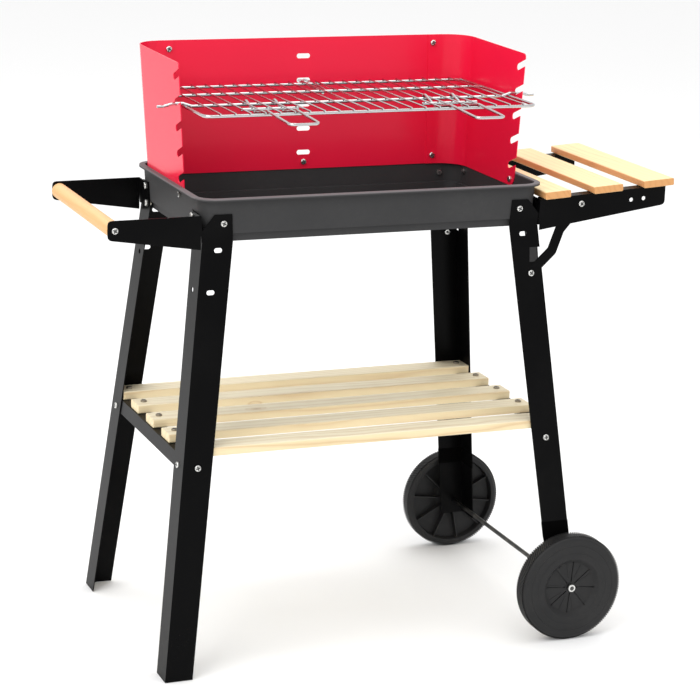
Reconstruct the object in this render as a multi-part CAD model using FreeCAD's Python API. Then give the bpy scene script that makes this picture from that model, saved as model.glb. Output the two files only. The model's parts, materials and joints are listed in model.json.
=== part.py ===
import FreeCAD, Part

import math
import os

# Trolley grill with an open fire pan, a sheet windshield on three sides, a lift-out wire
# grate, four splayed angle legs, a slatted lower shelf, a slatted side shelf, a push handle
# and two wheels.
#
# Frame: millimetres, +Z up, floor at Z = 0.  X runs along the pan (handle at -X, side shelf
# and wheels at +X), Y runs across it (open front at -Y, windshield back at +Y).
# The model is built about the middle of the fire pan and written about the middle of its
# whole length.

V = FreeCAD.Vector
X_AXIS = V(1, 0, 0)
Y_AXIS = V(0, 1, 0)
Z_AXIS = V(0, 0, 1)

# Sheet stock
PAN_SHEET = 1.2
SHIELD_SHEET = 1.2
LEG_SHEET = 1.5
DRAFT = math.tan(math.radians(3.2))      # outward lean of pan walls and windshield

# Fire pan, sizes inside at rim level
RIM_Z = 631.0
PAN_HALF_X = 238.5
PAN_HALF_Y = 138.5
PAN_CORNER = 22.0
PAN_LEDGE_Z = 584.0
PAN_LEDGE = 4.5
PAN_FLOOR_Z = 573.0
RIM_LIP = 6.5
RIM_DROP = 3.5
RIM_EASE = 1.1

# Windshield
SHIELD_TOP_Z = 797.0
SHIELD_BASE_Z = 612.0
SHIELD_BEND = 36.0
SHIELD_FRONT_Y = -60.0
SHIELD_SLOPE = 2.0                       # fall of the side panels' top edge at the front
SEAM_X = 188.0                           # free edge of a side panel's rear flange
SEAM_LEAN = 0.011
BACK_HALF_X = 212.0
LEVELS = 5
LEVEL_PITCH = 33.9
SLOT_TOP_Z = 771.0
SLOT_LONG = 20.0
SLOT_HIGH = 7.0
NOTCH_WIDE = 9.0
NOTCH_RUN = 20.0
NOTCH_RISE = 8.0
NOTCH_TOP_Z = 774.6
CHAMFER = 14.0                           # rounding of the side panels' lower front corner
SHIELD_EASE = 6.0                        # and of their upper front corner

# Grate
GRATE_LEVEL = 1                          # counted from the top, starting at 0
ROD_R = 2.5
WIRE_R = 1.5
WIRE_COUNT = 24
GRATE_HALF_X = 233.0
ROD_ROWS = (-129.0, 50.0, 119.0)
ROD_END_X = 270.0
ROD_CRANK = 4.0                          # rise of the support rod where it seats in the notches
ROD_BEND = 7.0
SEAT_IN_X = 235.0
SEAT_OUT_X = 249.0
SEAT_RAMP = 12.0
WIRE_END = 3.0                           # wire ends past the first and last rods
ROD_STUB = 2.0                           # rod ends past the outer wires
TONGUE_DROP = 1.1
TONGUE_BEND = 3.5
GRIP_BEND = 5.0
SEAT_GAP = 0.3
TONGUE_Y = 151.0
TONGUE_HALF = 5.5
GRIP_X = 128.0
GRIP_HALF = 20.0
GRIP_BAR_HALF = 40.0
GRIP_BAR_Y = -78.0
GRIP_FRONT_Y = -200.0
GRIP_R = 2.0
GRIP_RISE = 6.0
HOOK_GAP = 1.0                           # between a grip's hooks and the support rod
PAST = 600.0                             # reach of cutting and trimming prisms

# Legs
FOOT_X = 302.0
FOOT_Y = 198.0
LEG_KNEE_Z = 574.0
TAB_TOP_Z = 610.0
TAB_POINT_Z = 589.0
TAB_CUT = 18.0
LEG_WIDE_TOP = 42.0
LEG_WIDE_FOOT = 38.0
SHORT_LEG_Z = 55.0
OVAL_X = 216.5
OVAL_Z = 563.0
OVAL_LONG = 11.0
OVAL_HIGH = 6.5
SIDE_OVAL_Y = 120.5
SIDE_OVAL_LONG = 8.0
GATE_RISE = 18.0                         # middle of the brace's gap above its foot screw
GATE_HALF_Z = 17.0
GATE_WIDE = 9.0

# Lower shelf
SHELF_Z = 294.0
SLAT_THICK = 12.0
SLAT_WIDE = 36.0
SLAT_PITCH = 72.5
SLAT_COUNT = 5
SLAT_HALF_X = 265.5
RAIL_DROP = 19.0
RAIL_FLANGE = 22.0
RAIL_TAB = 26.0
RAIL_SCREW_Z = 281.5
RAIL_SIDE_IN = 22.0
RAIL_END_IN = 20.0
RAIL_CLEAR = 0.5

# Push handle
DOWEL_X = -354.3
DOWEL_Z = 595.7
DOWEL_R = 10.5
DOWEL_EASE = 0.8
DOWEL_SCREW = 16.0
PLATE_END = 9.5                          # past the dowel's axis
PLATE_END_TOP_Z = 608.7
PLATE_END_LOW_Z = 583.5
PLATE_SHEET = 1.5
PLATE_TOP_Z = 609.5
PLATE_LOW_Z = 565.0
MOUNT_LOW_Z = 574.5
MOUNT_WIDE = 42.0
PLATE_EASE = 6.0

# Side shelf
BRACKET_END_X = 430.0
BRACKET_TOP_Z = 609.0
BRACKET_SLOPE = 0.062
BRACKET_ROOT_HIGH = 42.0
BRACKET_END_HIGH = 27.0
BRACKET_FLANGE = 18.0
SIDE_SLAT_X = (264.0, 340.0, 417.0)
SIDE_SLAT_WIDE = (38.0, 44.0, 46.0)
SIDE_SLAT_THICK = 10.0
SIDE_SLAT_HALF_Y = 146.0
SIDE_SLAT_SCREW = 8.0
BOARD_EASE = 1.2
SPARE_HOLES = ((378.0, 602.3), (397.0, 603.5))      # (x, z)
SPARE_HOLE_R = 3.0
BRACE_TOP = (301.6, 600.5)               # (x, z)
BRACE_KNEE = (262.0, 549.0)
BRACE_FOOT = (228.0, 509.0)
BRACE_JOG_ZS = (530.0, 566.0)            # heights between which it steps out to the plate
BRACE_WIDE = 14.0
BRACE_SHEET = 2.0

# Wheels
WHEEL_R = 75.0
WHEEL_WIDE = 24.0
WHEEL_Y = 205.5
AXLE_X = 278.0
AXLE_R = 3.0
AXLE_CLEAR = 0.08
AXLE_HOLE_R = 3.3
AXLE_END = 5.0                           # past the wheel's dish
HUB_R = 10.0
DISH_R = 38.0
DISH_DEEP = 6.0
WHEEL_WALL = 4.0
TREAD_DEEP = 12.0
TREAD_EASE = 3.5
SPOKE_COUNT = 8
SPOKE_TURN = 11.0
RIB_WIDE = 3.0
RIB_STEP = 3.0
GROOVE_WIDE = 3.6
GROOVE_DEEP = 1.6
GROOVE_END = 4.0
CAP_R = 5.5
CAP_WALL = 1.2
WASHER_R = 8.0

# Fasteners
SCREW_R = 2.0
HOLE_R = 2.6
HEAD_R = 4.6
HEAD_HIGH = 2.6
NUT_R = 4.2
NUT_HIGH = 3.2
SCREW_TAIL = 0.8                         # shank past its nut
BOLT_SIDES = 6                           # faces round a shank, a nut and a bolt hole
HEAD_SIDES = 8
SLOT_SIDES = 12
ROD_SIDES = 6
WIRE_SIDES = 6
DOWEL_SIDES = 24
WHEEL_SIDES = 40
BEND_STEPS = 3
CORNER_STEPS = 6
SIDE_SCREW_Y = 106.0
SIDE_SCREW_ZS = (604.0, 580.0)
TAB_SCREW_X = 209.5
TAB_SCREW_Z = 598.0
SEAM_SCREW_X = 197.5
SEAM_SCREW_ZS = (785.0, 624.0)
SHIELD_FRONT_SCREW = (-47.0, 620.5)      # (y, z)
SHIELD_BACK_SCREW = (0.0, 622.0)         # (x, z)

# Derived sizes
TAB_X = PAN_HALF_X + PAN_SHEET + LEG_SHEET          # outer face of a side tab at rim level
TAB_Y = PAN_HALF_Y + PAN_SHEET + LEG_SHEET
KNEE_X = TAB_X + (LEG_KNEE_Z - RIM_Z) * DRAFT
KNEE_Y = TAB_Y + (LEG_KNEE_Z - RIM_Z) * DRAFT
SPLAY_X = (FOOT_X - KNEE_X) / LEG_KNEE_Z
SPLAY_Y = (FOOT_Y - KNEE_Y) / LEG_KNEE_Z
NOTCH_LEN = math.hypot(NOTCH_RUN, NOTCH_RISE)
ROD_Y = SHIELD_FRONT_Y + NOTCH_RUN


def wall_x(z):
    """Inside face of the pan's end wall, and outside face of the windshield, at height z."""
    return PAN_HALF_X + (z - RIM_Z) * DRAFT


def wall_y(z):
    """Inside face of the pan's long wall, and outside face of the windshield, at height z."""
    return PAN_HALF_Y + (z - RIM_Z) * DRAFT


def leg_x(z):
    """Outer face of a leg's side flange at height z."""
    if z > LEG_KNEE_Z:
        return TAB_X + (z - RIM_Z) * DRAFT
    return FOOT_X - z * SPLAY_X


def leg_y(z):
    """Outer face of a leg's front or back flange at height z."""
    if z > LEG_KNEE_Z:
        return TAB_Y + (z - RIM_Z) * DRAFT
    return FOOT_Y - z * SPLAY_Y


def middle_x():
    """Middle of the whole length, from the handle plates' ends to the last side slat."""
    tilt = math.atan(BRACKET_SLOPE)
    reach = math.cos(tilt) * SIDE_SLAT_WIDE[-1] / 2 - math.sin(tilt) * BOARD_EASE
    return (DOWEL_X - PLATE_END + SIDE_SLAT_X[-1] + reach) / 2


def save(shape, name):
    """Write one node to its own STEP file, with the whole grill's middle at X = 0."""
    placed = shape.copy()
    placed.translate(V(-middle_x(), 0, 0))
    placed.exportStep("parts/" + name + ".step")


def mirror_x(shape):
    """Copy of a shape on the other side of the YZ plane."""
    return shape.mirror(V(0, 0, 0), X_AXIS)


def mirror_y(shape):
    """Copy of a shape on the other side of the XZ plane."""
    return shape.mirror(V(0, 0, 0), Y_AXIS)


def cylinder(radius, start, end):
    """Round bar from one point to another."""
    return Part.makeCylinder(radius, (end - start).Length, start, end - start)


def prism(points, direction):
    """Closed polygon through the points, pushed along a direction."""
    return Part.Face(Part.makePolygon(points + [points[0]])).extrude(direction)


def ring_points(centre, axis, radius, sides):
    """Corners of a regular polygon square to an axis, with flats above and below."""
    across = axis.cross(Z_AXIS)
    if across.Length < 0.5 * axis.Length:
        across = axis.cross(Y_AXIS)
    across.normalize()
    up = across.cross(axis)
    up.normalize()
    points = []
    for index in range(sides):
        turn = 2 * math.pi * (index + 0.5) / sides
        points.append(centre + across * (radius * math.sin(turn)) + up * (radius * math.cos(turn)))
    return points


def flat_of(radius, sides):
    """Distance from the middle of a regular section to its flats."""
    return radius * math.cos(math.pi / sides)


def faceted_bar(radius, start, end, sides):
    """Straight bar of regular section, for pieces that repeat and for the holes they need."""
    return prism(ring_points(start, end - start, radius, sides), end - start)


def side_prism(outline, x_from, x_to):
    """Outline of (y, z) points pushed along X."""
    points = [V(x_from, y, z) for y, z in outline]
    return prism(points, V(x_to - x_from, 0, 0))


def front_prism(outline, y_from, y_to):
    """Outline of (x, z) points pushed along Y."""
    points = [V(x, y_from, z) for x, z in outline]
    return prism(points, V(0, y_to - y_from, 0))


def eased(outline, indexes, radius):
    """Outline with some of its corners rounded in a few steps."""
    points = []
    for index, corner in enumerate(outline):
        if index not in indexes:
            points.append(corner)
            continue
        ends = []
        for other in (outline[index - 1], outline[(index + 1) % len(outline)]):
            share = radius / math.dist(corner, other)
            ends.append([c + (o - c) * share for c, o in zip(corner, other)])
        for step in range(BEND_STEPS + 1):
            share = step / BEND_STEPS
            points.append(tuple((1 - share) ** 2 * a + 2 * share * (1 - share) * c + share ** 2 * b
                                for a, c, b in zip(ends[0], corner, ends[1])))
    return points


def rounded_wire(half_x, half_y, radius, z):
    """Rectangle about the Z axis at height z, with corners rounded in steps."""
    points = []
    for quarter in range(4):
        for step in range(CORNER_STEPS + 1):
            turn = math.radians(90 * (quarter + step / CORNER_STEPS))
            sign_x = 1 if quarter in (0, 3) else -1
            sign_y = 1 if quarter in (0, 1) else -1
            points.append(V(sign_x * (half_x - radius) + radius * math.cos(turn),
                            sign_y * (half_y - radius) + radius * math.sin(turn), z))
    return Part.makePolygon(points + [points[0]])


def drafted_block(half_low, half_high, z_low, z_high, radius):
    """Solid with rounded corners whose four walls lean between two levels."""
    low = rounded_wire(half_low[0], half_low[1], radius, z_low)
    high = rounded_wire(half_high[0], half_high[1], radius, z_high)
    return Part.makeLoft([low, high], True, True)


def slot_cutter(centre, length, width, axis, reach):
    """Slot-shaped cutter with round ends, long in the horizontal direction."""
    along = axis.cross(Z_AXIS)
    half = (length - width) / 2
    points = []
    for index in range(SLOT_SIDES):
        turn = 2 * math.pi * (index + 0.5) / SLOT_SIDES
        shift = math.copysign(half, math.sin(turn))
        points.append(centre - axis * reach + along * (shift + width / 2 * math.sin(turn))
                      + Z_AXIS * (width / 2 * math.cos(turn)))
    return prism(points, axis * (2 * reach))


def hole_cutter(centre, axis, reach=12.0, radius=HOLE_R, sides=BOLT_SIDES):
    """Cutter for a hole through a sheet at a point."""
    return faceted_bar(radius, centre - axis * reach, centre + axis * reach, sides)


def cut_all(shape, cutters):
    """Take every cutter out of a shape."""
    for cutter in cutters:
        shape = shape.cut(cutter)
    return shape


def all_corners(item):
    """The item and its mirror copies at the four corners."""
    other = mirror_x(item)
    return [item, mirror_y(item), other, mirror_y(other)]


def screw(seat, outward, length):
    """Round-head screw whose head sits on a face at seat, its shank running inwards."""
    head = faceted_bar(HEAD_R, seat, seat + outward * HEAD_HIGH, HEAD_SIDES)
    shank = faceted_bar(SCREW_R, seat, seat - outward * length, BOLT_SIDES)
    return head.fuse(shank)


def nut(seat, outward):
    """Hexagonal nut that sits on a face at seat and rises along outward."""
    body = faceted_bar(NUT_R, seat, seat + outward * NUT_HIGH, BOLT_SIDES)
    return body.cut(faceted_bar(SCREW_R, seat - outward, seat + outward * (NUT_HIGH + 1),
                                BOLT_SIDES))


def fastening(seat, outward, stack):
    """Screw with its head at seat, and the nut on the far side of the sheets it clamps."""
    item = screw(seat, outward, stack + NUT_HIGH + SCREW_TAIL)
    return item, nut(seat - outward * stack, outward * -1)


def lean(axis, slope):
    """Unit vector along a horizontal axis, tipped up by a slope."""
    tipped = axis + Z_AXIS * slope
    tipped.normalize()
    return tipped


# ---------------------------------------------------------------- fire pan

def pan_form(inset):
    """Solid form of the pan; inset moves its walls and floor inwards by one sheet."""
    grow = PAN_SHEET - inset
    ledge_z = PAN_LEDGE_Z + inset
    floor_z = PAN_FLOOR_Z + inset
    wall_low = (wall_x(ledge_z) + grow, wall_y(ledge_z) + grow)
    wall_high = (PAN_HALF_X + grow, PAN_HALF_Y + grow)
    tray_high = (wall_low[0] - PAN_LEDGE, wall_low[1] - PAN_LEDGE)
    tray_low = (tray_high[0] - 1.0, tray_high[1] - 1.0)
    radius = PAN_CORNER + grow
    upper = drafted_block(wall_low, wall_high, ledge_z, RIM_Z, radius)
    tray = drafted_block(tray_low, tray_high, floor_z, ledge_z, radius - PAN_LEDGE)
    return upper.fuse(tray)


def rim_profile_ring(half_out, half_in, z_low, z_high, corner_out, corner_in):
    """Flat ring between two rounded rectangles."""
    outer = drafted_block(half_out, half_out, z_low, z_high, corner_out)
    inner = drafted_block(half_in, half_in, z_low - 1, z_high + 1, corner_in)
    return outer.cut(inner)


def fire_pan():
    """Pressed pan: drafted walls, a ledge above the floor tray, a rolled outward rim."""
    shell = pan_form(0.0).cut(pan_form(PAN_SHEET))
    outer = (PAN_HALF_X + PAN_SHEET + RIM_LIP, PAN_HALF_Y + PAN_SHEET + RIM_LIP)
    inner = (PAN_HALF_X, PAN_HALF_Y)
    corner_out = PAN_CORNER + PAN_SHEET + RIM_LIP
    lip = rim_profile_ring(outer, inner, RIM_Z - PAN_SHEET, RIM_Z, corner_out, PAN_CORNER)
    skirt_in = (outer[0] - PAN_SHEET, outer[1] - PAN_SHEET)
    skirt = rim_profile_ring(outer, skirt_in, RIM_Z - RIM_DROP, RIM_Z,
                             corner_out, corner_out - PAN_SHEET)
    rim = lip.fuse(skirt).removeSplitter()
    edges = []
    for edge in rim.Edges:
        box = edge.BoundBox
        on_top = box.ZMin > RIM_Z - 0.01
        at_outside = max(abs(box.XMax), abs(box.XMin)) > outer[0] - corner_out - 0.1
        far_y = max(abs(box.YMax), abs(box.YMin)) > outer[1] - 0.1
        far_x = max(abs(box.XMax), abs(box.XMin)) > outer[0] - 0.1
        if on_top and at_outside and (far_x or far_y):
            edges.append(edge)
    rim = rim.makeChamfer(RIM_EASE, edges)
    pan = shell.fuse(rim).removeSplitter()
    return cut_all(pan, pan_holes())


def pan_holes():
    """Screw holes through the pan's walls."""
    cutters = []
    low_z = TAB_SCREW_Z
    cutters += all_corners(hole_cutter(V(TAB_SCREW_X, wall_y(low_z), low_z), Y_AXIS, 8))
    high_z = SIDE_SCREW_ZS[0]
    cutters += all_corners(hole_cutter(V(wall_x(high_z), SIDE_SCREW_Y, high_z), X_AXIS, 8))
    cutters += shield_pan_cutters()
    return cutters


# ---------------------------------------------------------------- windshield

def shield_pan_cutters():
    """Holes shared by the windshield and the pan wall that carries it."""
    y, z = SHIELD_FRONT_SCREW
    front = hole_cutter(V(wall_x(z), y, z), X_AXIS, 6)
    x, z = SHIELD_BACK_SCREW
    back = hole_cutter(V(x, wall_y(z), z), Y_AXIS, 6)
    z = SEAM_SCREW_ZS[1]
    seam = hole_cutter(V(SEAM_SCREW_X, wall_y(z), z), Y_AXIS, 6)
    return [front, mirror_x(front), back, seam, mirror_x(seam)]


def seam_cutters():
    """Holes for the screws that join a side panel to the back panel."""
    cutters = []
    for z in SEAM_SCREW_ZS:
        hole = hole_cutter(V(SEAM_SCREW_X, wall_y(z), z), Y_AXIS, 8)
        cutters += [hole, mirror_x(hole)]
    return cutters


def shield_back():
    """Flat back panel with a ladder of slots for the grate's tongue."""
    outline = [(-BACK_HALF_X, SHIELD_BASE_Z), (BACK_HALF_X, SHIELD_BASE_Z),
               (BACK_HALF_X, SHIELD_TOP_Z), (-BACK_HALF_X, SHIELD_TOP_Z)]
    low = wall_y(SHIELD_BASE_Z)
    high = wall_y(SHIELD_TOP_Z)
    band = side_prism([(low, SHIELD_BASE_Z), (high, SHIELD_TOP_Z),
                       (high - SHIELD_SHEET, SHIELD_TOP_Z), (low - SHIELD_SHEET, SHIELD_BASE_Z)],
                      -BACK_HALF_X, BACK_HALF_X)
    panel = band.common(front_prism(outline, 0, PAST))
    cutters = seam_cutters() + shield_pan_cutters()
    for level in range(LEVELS):
        z = SLOT_TOP_Z - level * LEVEL_PITCH
        cutters.append(slot_cutter(V(0, wall_y(z), z), SLOT_LONG, SLOT_HIGH, Y_AXIS, 8))
    return cut_all(panel, cutters)


def shield_section(z):
    """Closed section of the right side panel at height z, clear of the back panel."""
    out_x = wall_x(z)
    out_y = wall_y(z) - SHIELD_SHEET
    seam = SEAM_X + (z - SHIELD_BASE_Z) * SEAM_LEAN
    outer = []
    inner = []
    for step in range(CORNER_STEPS + 1):
        turn = math.pi / 2 * step / CORNER_STEPS
        for radius, side in ((SHIELD_BEND, outer), (SHIELD_BEND - SHIELD_SHEET, inner)):
            side.append(V(out_x - SHIELD_BEND + radius * math.cos(turn),
                          out_y - SHIELD_BEND + radius * math.sin(turn), z))
    points = [V(out_x, SHIELD_FRONT_Y, z)] + outer
    points += [V(seam, out_y, z), V(seam, out_y - SHIELD_SHEET, z)]
    points += inner[::-1] + [V(out_x - SHIELD_SHEET, SHIELD_FRONT_Y, z)]
    return Part.makePolygon(points + [points[0]])


def notch_cutter(z_root):
    """Slanted open notch in a side panel's front edge; its round end is at the root."""
    radius = NOTCH_WIDE / 2
    root = V(0, ROD_Y, z_root)
    out = V(0, -NOTCH_RUN, NOTCH_RISE)
    out.normalize()
    across = V(0, out.z, -out.y)
    mouth = root + out * (2 * NOTCH_LEN)
    block = prism([root - across * radius, mouth - across * radius,
                   mouth + across * radius, root + across * radius], X_AXIS * PAST)
    pin = faceted_bar(radius, root, root + X_AXIS * PAST, SLOT_SIDES)
    return block.fuse(pin).removeSplitter()


def shield_side():
    """Right side panel: a sheet bent round the rear corner, with hooked notches in front."""
    panel = Part.makeLoft([shield_section(SHIELD_BASE_Z), shield_section(SHIELD_TOP_Z)],
                          True, True)
    front = SHIELD_FRONT_Y
    top_front = SHIELD_TOP_Z - SHIELD_SLOPE
    outline = [(front, SHIELD_BASE_Z), (PAST, SHIELD_BASE_Z), (PAST, SHIELD_TOP_Z),
               (PAN_HALF_Y, SHIELD_TOP_Z), (front, top_front)]
    outline = eased(outline, (0,), CHAMFER)
    outline = eased(outline, (len(outline) - 1,), SHIELD_EASE)
    panel = panel.common(side_prism(outline, 0, PAST))
    cutters = [notch_cutter(NOTCH_TOP_Z - level * LEVEL_PITCH) for level in range(LEVELS)]
    cutters += seam_cutters() + shield_pan_cutters()
    return cut_all(panel, cutters)


# ---------------------------------------------------------------- grate

def grate_z():
    """Height of the support rod's seat at the level in use."""
    out = V(0, -NOTCH_RUN, NOTCH_RISE)
    out.normalize()
    drop = NOTCH_WIDE / 2 - ROD_R - SEAT_GAP
    seat = NOTCH_TOP_Z - GRATE_LEVEL * LEVEL_PITCH
    return seat + out.y * drop, ROD_Y + out.z * -drop


def bent_rod(points, radius, bend, sides):
    """Bar of regular section along straight runs, turning each corner in a few steps."""
    path = [points[0]]
    for index in range(1, len(points) - 1):
        corner = points[index]
        into = corner - points[index - 1]
        away = points[index + 1] - corner
        into.normalize()
        away.normalize()
        reach = bend * math.tan(into.getAngle(away) / 2)
        for step in range(BEND_STEPS + 1):
            share = step / BEND_STEPS
            path.append(corner - into * (reach * (1 - share) ** 2) + away * (reach * share ** 2))
    path.append(points[-1])
    rings = [ring_points(path[0], path[1] - path[0], radius, sides)]
    for index in range(1, len(path)):
        run = path[index] - path[index - 1]
        run.normalize()
        normal = run
        if index < len(path) - 1:
            following = path[index + 1] - path[index]
            following.normalize()
            normal = run + following
        ring = []
        for point in rings[-1]:
            slide = (path[index] - point).dot(normal) / run.dot(normal)
            ring.append(point + run * slide)
        rings.append(ring)
    faces = [Part.Face(Part.makePolygon(ring + [ring[0]])) for ring in (rings[0], rings[-1])]
    for low, high in zip(rings, rings[1:]):
        for index in range(sides):
            after = (index + 1) % sides
            faces.append(Part.Face(Part.makePolygon([low[index], low[after], high[after],
                                                     high[index], low[index]])))
    return Part.Solid(Part.Shell(faces))


def grate():
    """Welded wire grate: cross rods below, a comb of thin wires on top, a rear tongue."""
    seat_z, rod_y = grate_z()
    rod_z = seat_z - ROD_CRANK
    half_points = [V(ROD_END_X, rod_y, rod_z + 1), V(SEAT_OUT_X + SEAT_RAMP, rod_y, rod_z + 1),
                   V(SEAT_OUT_X, rod_y, seat_z), V(SEAT_IN_X, rod_y, seat_z),
                   V(SEAT_IN_X - SEAT_RAMP, rod_y, rod_z)]
    left_points = [V(-point.x, point.y, point.z) for point in half_points]
    support = bent_rod(left_points + half_points[::-1], ROD_R, ROD_BEND, ROD_SIDES)
    bars = [support]
    for y in ROD_ROWS:
        half = GRATE_HALF_X + ROD_STUB
        bars.append(faceted_bar(ROD_R, V(-half, y, rod_z), V(half, y, rod_z), ROD_SIDES))
    wire_z = rod_z + flat_of(ROD_R, ROD_SIDES) + flat_of(WIRE_R, WIRE_SIDES)
    pitch = 2 * GRATE_HALF_X / (WIRE_COUNT - 1)
    for index in range(WIRE_COUNT):
        x = -GRATE_HALF_X + index * pitch
        bars.append(faceted_bar(WIRE_R, V(x, ROD_ROWS[0] - WIRE_END, wire_z),
                                V(x, ROD_ROWS[-1] + WIRE_END, wire_z), WIRE_SIDES))
    slot_z = SLOT_TOP_Z - GRATE_LEVEL * LEVEL_PITCH
    tongue_z = slot_z - TONGUE_DROP
    bars.append(bent_rod([V(-TONGUE_HALF, ROD_ROWS[1], rod_z - ROD_R),
                          V(-TONGUE_HALF, ROD_ROWS[2], tongue_z),
                          V(-TONGUE_HALF, TONGUE_Y, tongue_z),
                          V(TONGUE_HALF, TONGUE_Y, tongue_z),
                          V(TONGUE_HALF, ROD_ROWS[2], tongue_z),
                          V(TONGUE_HALF, ROD_ROWS[1], rod_z - ROD_R)], GRIP_R, TONGUE_BEND, ROD_SIDES))
    return bars[0].multiFuse(bars[1:])


def grip():
    """Wire grip of the grate: a loop in front, hooks behind the support rod, a cross bar."""
    seat_z, rod_y = grate_z()
    rod_z = seat_z - ROD_CRANK
    low_z = rod_z - ROD_R - GRIP_R
    left = GRIP_X - GRIP_HALF
    right = GRIP_X + GRIP_HALF
    front_z = low_z + GRIP_RISE
    knee_y = ROD_ROWS[0] - 2 * GRIP_R - WIRE_END
    top_z = rod_z + ROD_R
    hook_y = rod_y + ROD_R + GRIP_R + HOOK_GAP
    loop = bent_rod([V(left, hook_y, top_z), V(left, hook_y, low_z), V(left, knee_y, low_z),
                     V(left, GRIP_FRONT_Y, front_z), V(right, GRIP_FRONT_Y, front_z),
                     V(right, knee_y, low_z), V(right, hook_y, low_z),
                     V(right, hook_y, top_z)], GRIP_R, GRIP_BEND, ROD_SIDES)
    bar_z = low_z + flat_of(ROD_R, ROD_SIDES) + flat_of(GRIP_R, ROD_SIDES)
    bar = faceted_bar(ROD_R, V(GRIP_X - GRIP_BAR_HALF, GRIP_BAR_Y, bar_z),
                      V(GRIP_X + GRIP_BAR_HALF, GRIP_BAR_Y, bar_z), ROD_SIDES)
    return loop.fuse(bar)


# ---------------------------------------------------------------- legs

def folded_band(face, z_low):
    """Side view of a folded sheet: (offset, z) points of both faces from floor to tab."""
    levels = [z_low, LEG_KNEE_Z, TAB_TOP_Z]
    outer = [(face(z), z) for z in levels]
    inner = [(face(z) - LEG_SHEET, z) for z in reversed(levels)]
    return outer + inner


def flange_outline(face, z_low):
    """Front view of a flange on the positive side: (offset, z) points."""
    low_edge = face(z_low)
    return [(low_edge, z_low), (face(LEG_KNEE_Z), LEG_KNEE_Z), (face(TAB_POINT_Z), TAB_POINT_Z),
            (face(TAB_TOP_Z) - TAB_CUT, TAB_TOP_Z), (face(TAB_TOP_Z) - LEG_WIDE_TOP, TAB_TOP_Z),
            (face(LEG_KNEE_Z) - LEG_WIDE_TOP, LEG_KNEE_Z), (low_edge - LEG_WIDE_FOOT, z_low)]


def leg(z_low):
    """Leg at the +X +Y corner: folded angle sheet, splayed below, tabs on the pan above."""
    back = front_prism(flange_outline(leg_x, z_low), 0, PAST)
    back = back.common(side_prism(folded_band(leg_y, z_low), 0, PAST))
    side = side_prism(flange_outline(leg_y, z_low), 0, PAST)
    side = side.common(front_prism(folded_band(leg_x, z_low), 0, PAST))
    body = back.fuse(side).removeSplitter()
    return cut_all(body, leg_cutters(z_low))


def leg_cutters(z_low):
    """Holes and oval slots of a leg at the +X +Y corner."""
    cutters = [hole_cutter(V(TAB_SCREW_X, leg_y(TAB_SCREW_Z), TAB_SCREW_Z), Y_AXIS, 8)]
    for z in SIDE_SCREW_ZS:
        cutters.append(hole_cutter(V(leg_x(z), SIDE_SCREW_Y, z), X_AXIS, 8))
    z = RAIL_SCREW_Z
    cutters.append(hole_cutter(V(leg_x(z) - RAIL_END_IN, leg_y(z), z), Y_AXIS, 8))
    cutters.append(hole_cutter(V(leg_x(z), leg_y(z) - RAIL_SIDE_IN, z), X_AXIS, 8))
    cutters.append(slot_cutter(V(OVAL_X, leg_y(OVAL_Z), OVAL_Z), OVAL_LONG, OVAL_HIGH, Y_AXIS, 8))
    x, z = BRACE_FOOT
    if z_low > 0:
        cutters.append(hole_cutter(V(x, leg_y(z), z), Y_AXIS, 8))
        cutters.append(brace_gate())
        cutters.append(hole_cutter(V(AXLE_X, FOOT_Y, WHEEL_R), Y_AXIS, 40, AXLE_HOLE_R, SLOT_SIDES))
    else:
        cutters.append(slot_cutter(V(x, leg_y(z), z), OVAL_LONG, OVAL_HIGH, Y_AXIS, 8))
        cutters.append(slot_cutter(V(leg_x(z), SIDE_OVAL_Y, z), SIDE_OVAL_LONG, OVAL_HIGH,
                                   X_AXIS, 8))
    return cutters


def brace_gate():
    """Gap in a short leg's side flange where the shelf brace passes inside."""
    z = BRACE_FOOT[1] + GATE_RISE
    inner_y = leg_y(z - GATE_HALF_Z) - LEG_SHEET
    outline = [(inner_y - GATE_WIDE, z - GATE_HALF_Z), (inner_y, z - GATE_HALF_Z),
               (inner_y, z + GATE_HALF_Z), (inner_y - GATE_WIDE, z + GATE_HALF_Z)]
    return side_prism(outline, leg_x(z) - GATE_HALF_Z, leg_x(z) + GATE_HALF_Z)


# ---------------------------------------------------------------- lower shelf

def shelf_rail():
    """Right cross rail: a folded angle under the slats with a tab at each end."""
    low = SHELF_Z - RAIL_DROP
    thick = LEG_SHEET
    under = SHELF_Z - thick
    face_low = leg_x(low) - LEG_SHEET
    face_high = leg_x(SHELF_Z) - LEG_SHEET
    face_under = leg_x(under) - LEG_SHEET
    section = [(face_low, low), (face_high, SHELF_Z), (face_high - RAIL_FLANGE, SHELF_Z),
               (face_high - RAIL_FLANGE, under), (face_under - thick, under),
               (face_low - thick, low)]
    half = leg_y(SHELF_Z) - LEG_SHEET - RAIL_CLEAR
    bar = front_prism(section, -half, half)
    tabs = []
    for side in (-1, 1):
        y_low = leg_y(low) - LEG_SHEET
        y_high = leg_y(under) - LEG_SHEET
        band = [(side * y_low, low), (side * y_high, under),
                (side * (y_high - thick), under), (side * (y_low - thick), low)]
        outline = [(face_low, low), (face_under, under), (face_low - RAIL_TAB, under),
                   (face_low - RAIL_TAB, low)]
        tab = side_prism(band, 0, PAST).common(front_prism(outline, -PAST, PAST))
        tabs.append(tab)
    rail = bar.multiFuse(tabs).removeSplitter()
    z = RAIL_SCREW_Z
    cutters = []
    for side in (-1, 1):
        cutters.append(hole_cutter(V(leg_x(z) - RAIL_END_IN, side * leg_y(z), z), Y_AXIS, 8))
        cutters.append(hole_cutter(V(leg_x(z), side * (leg_y(z) - RAIL_SIDE_IN), z), X_AXIS, 8))
    for y in slat_ys():
        cutters.append(hole_cutter(V(slat_screw_x(), y, SHELF_Z), Z_AXIS, 3))
    return cut_all(rail, cutters)


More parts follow.
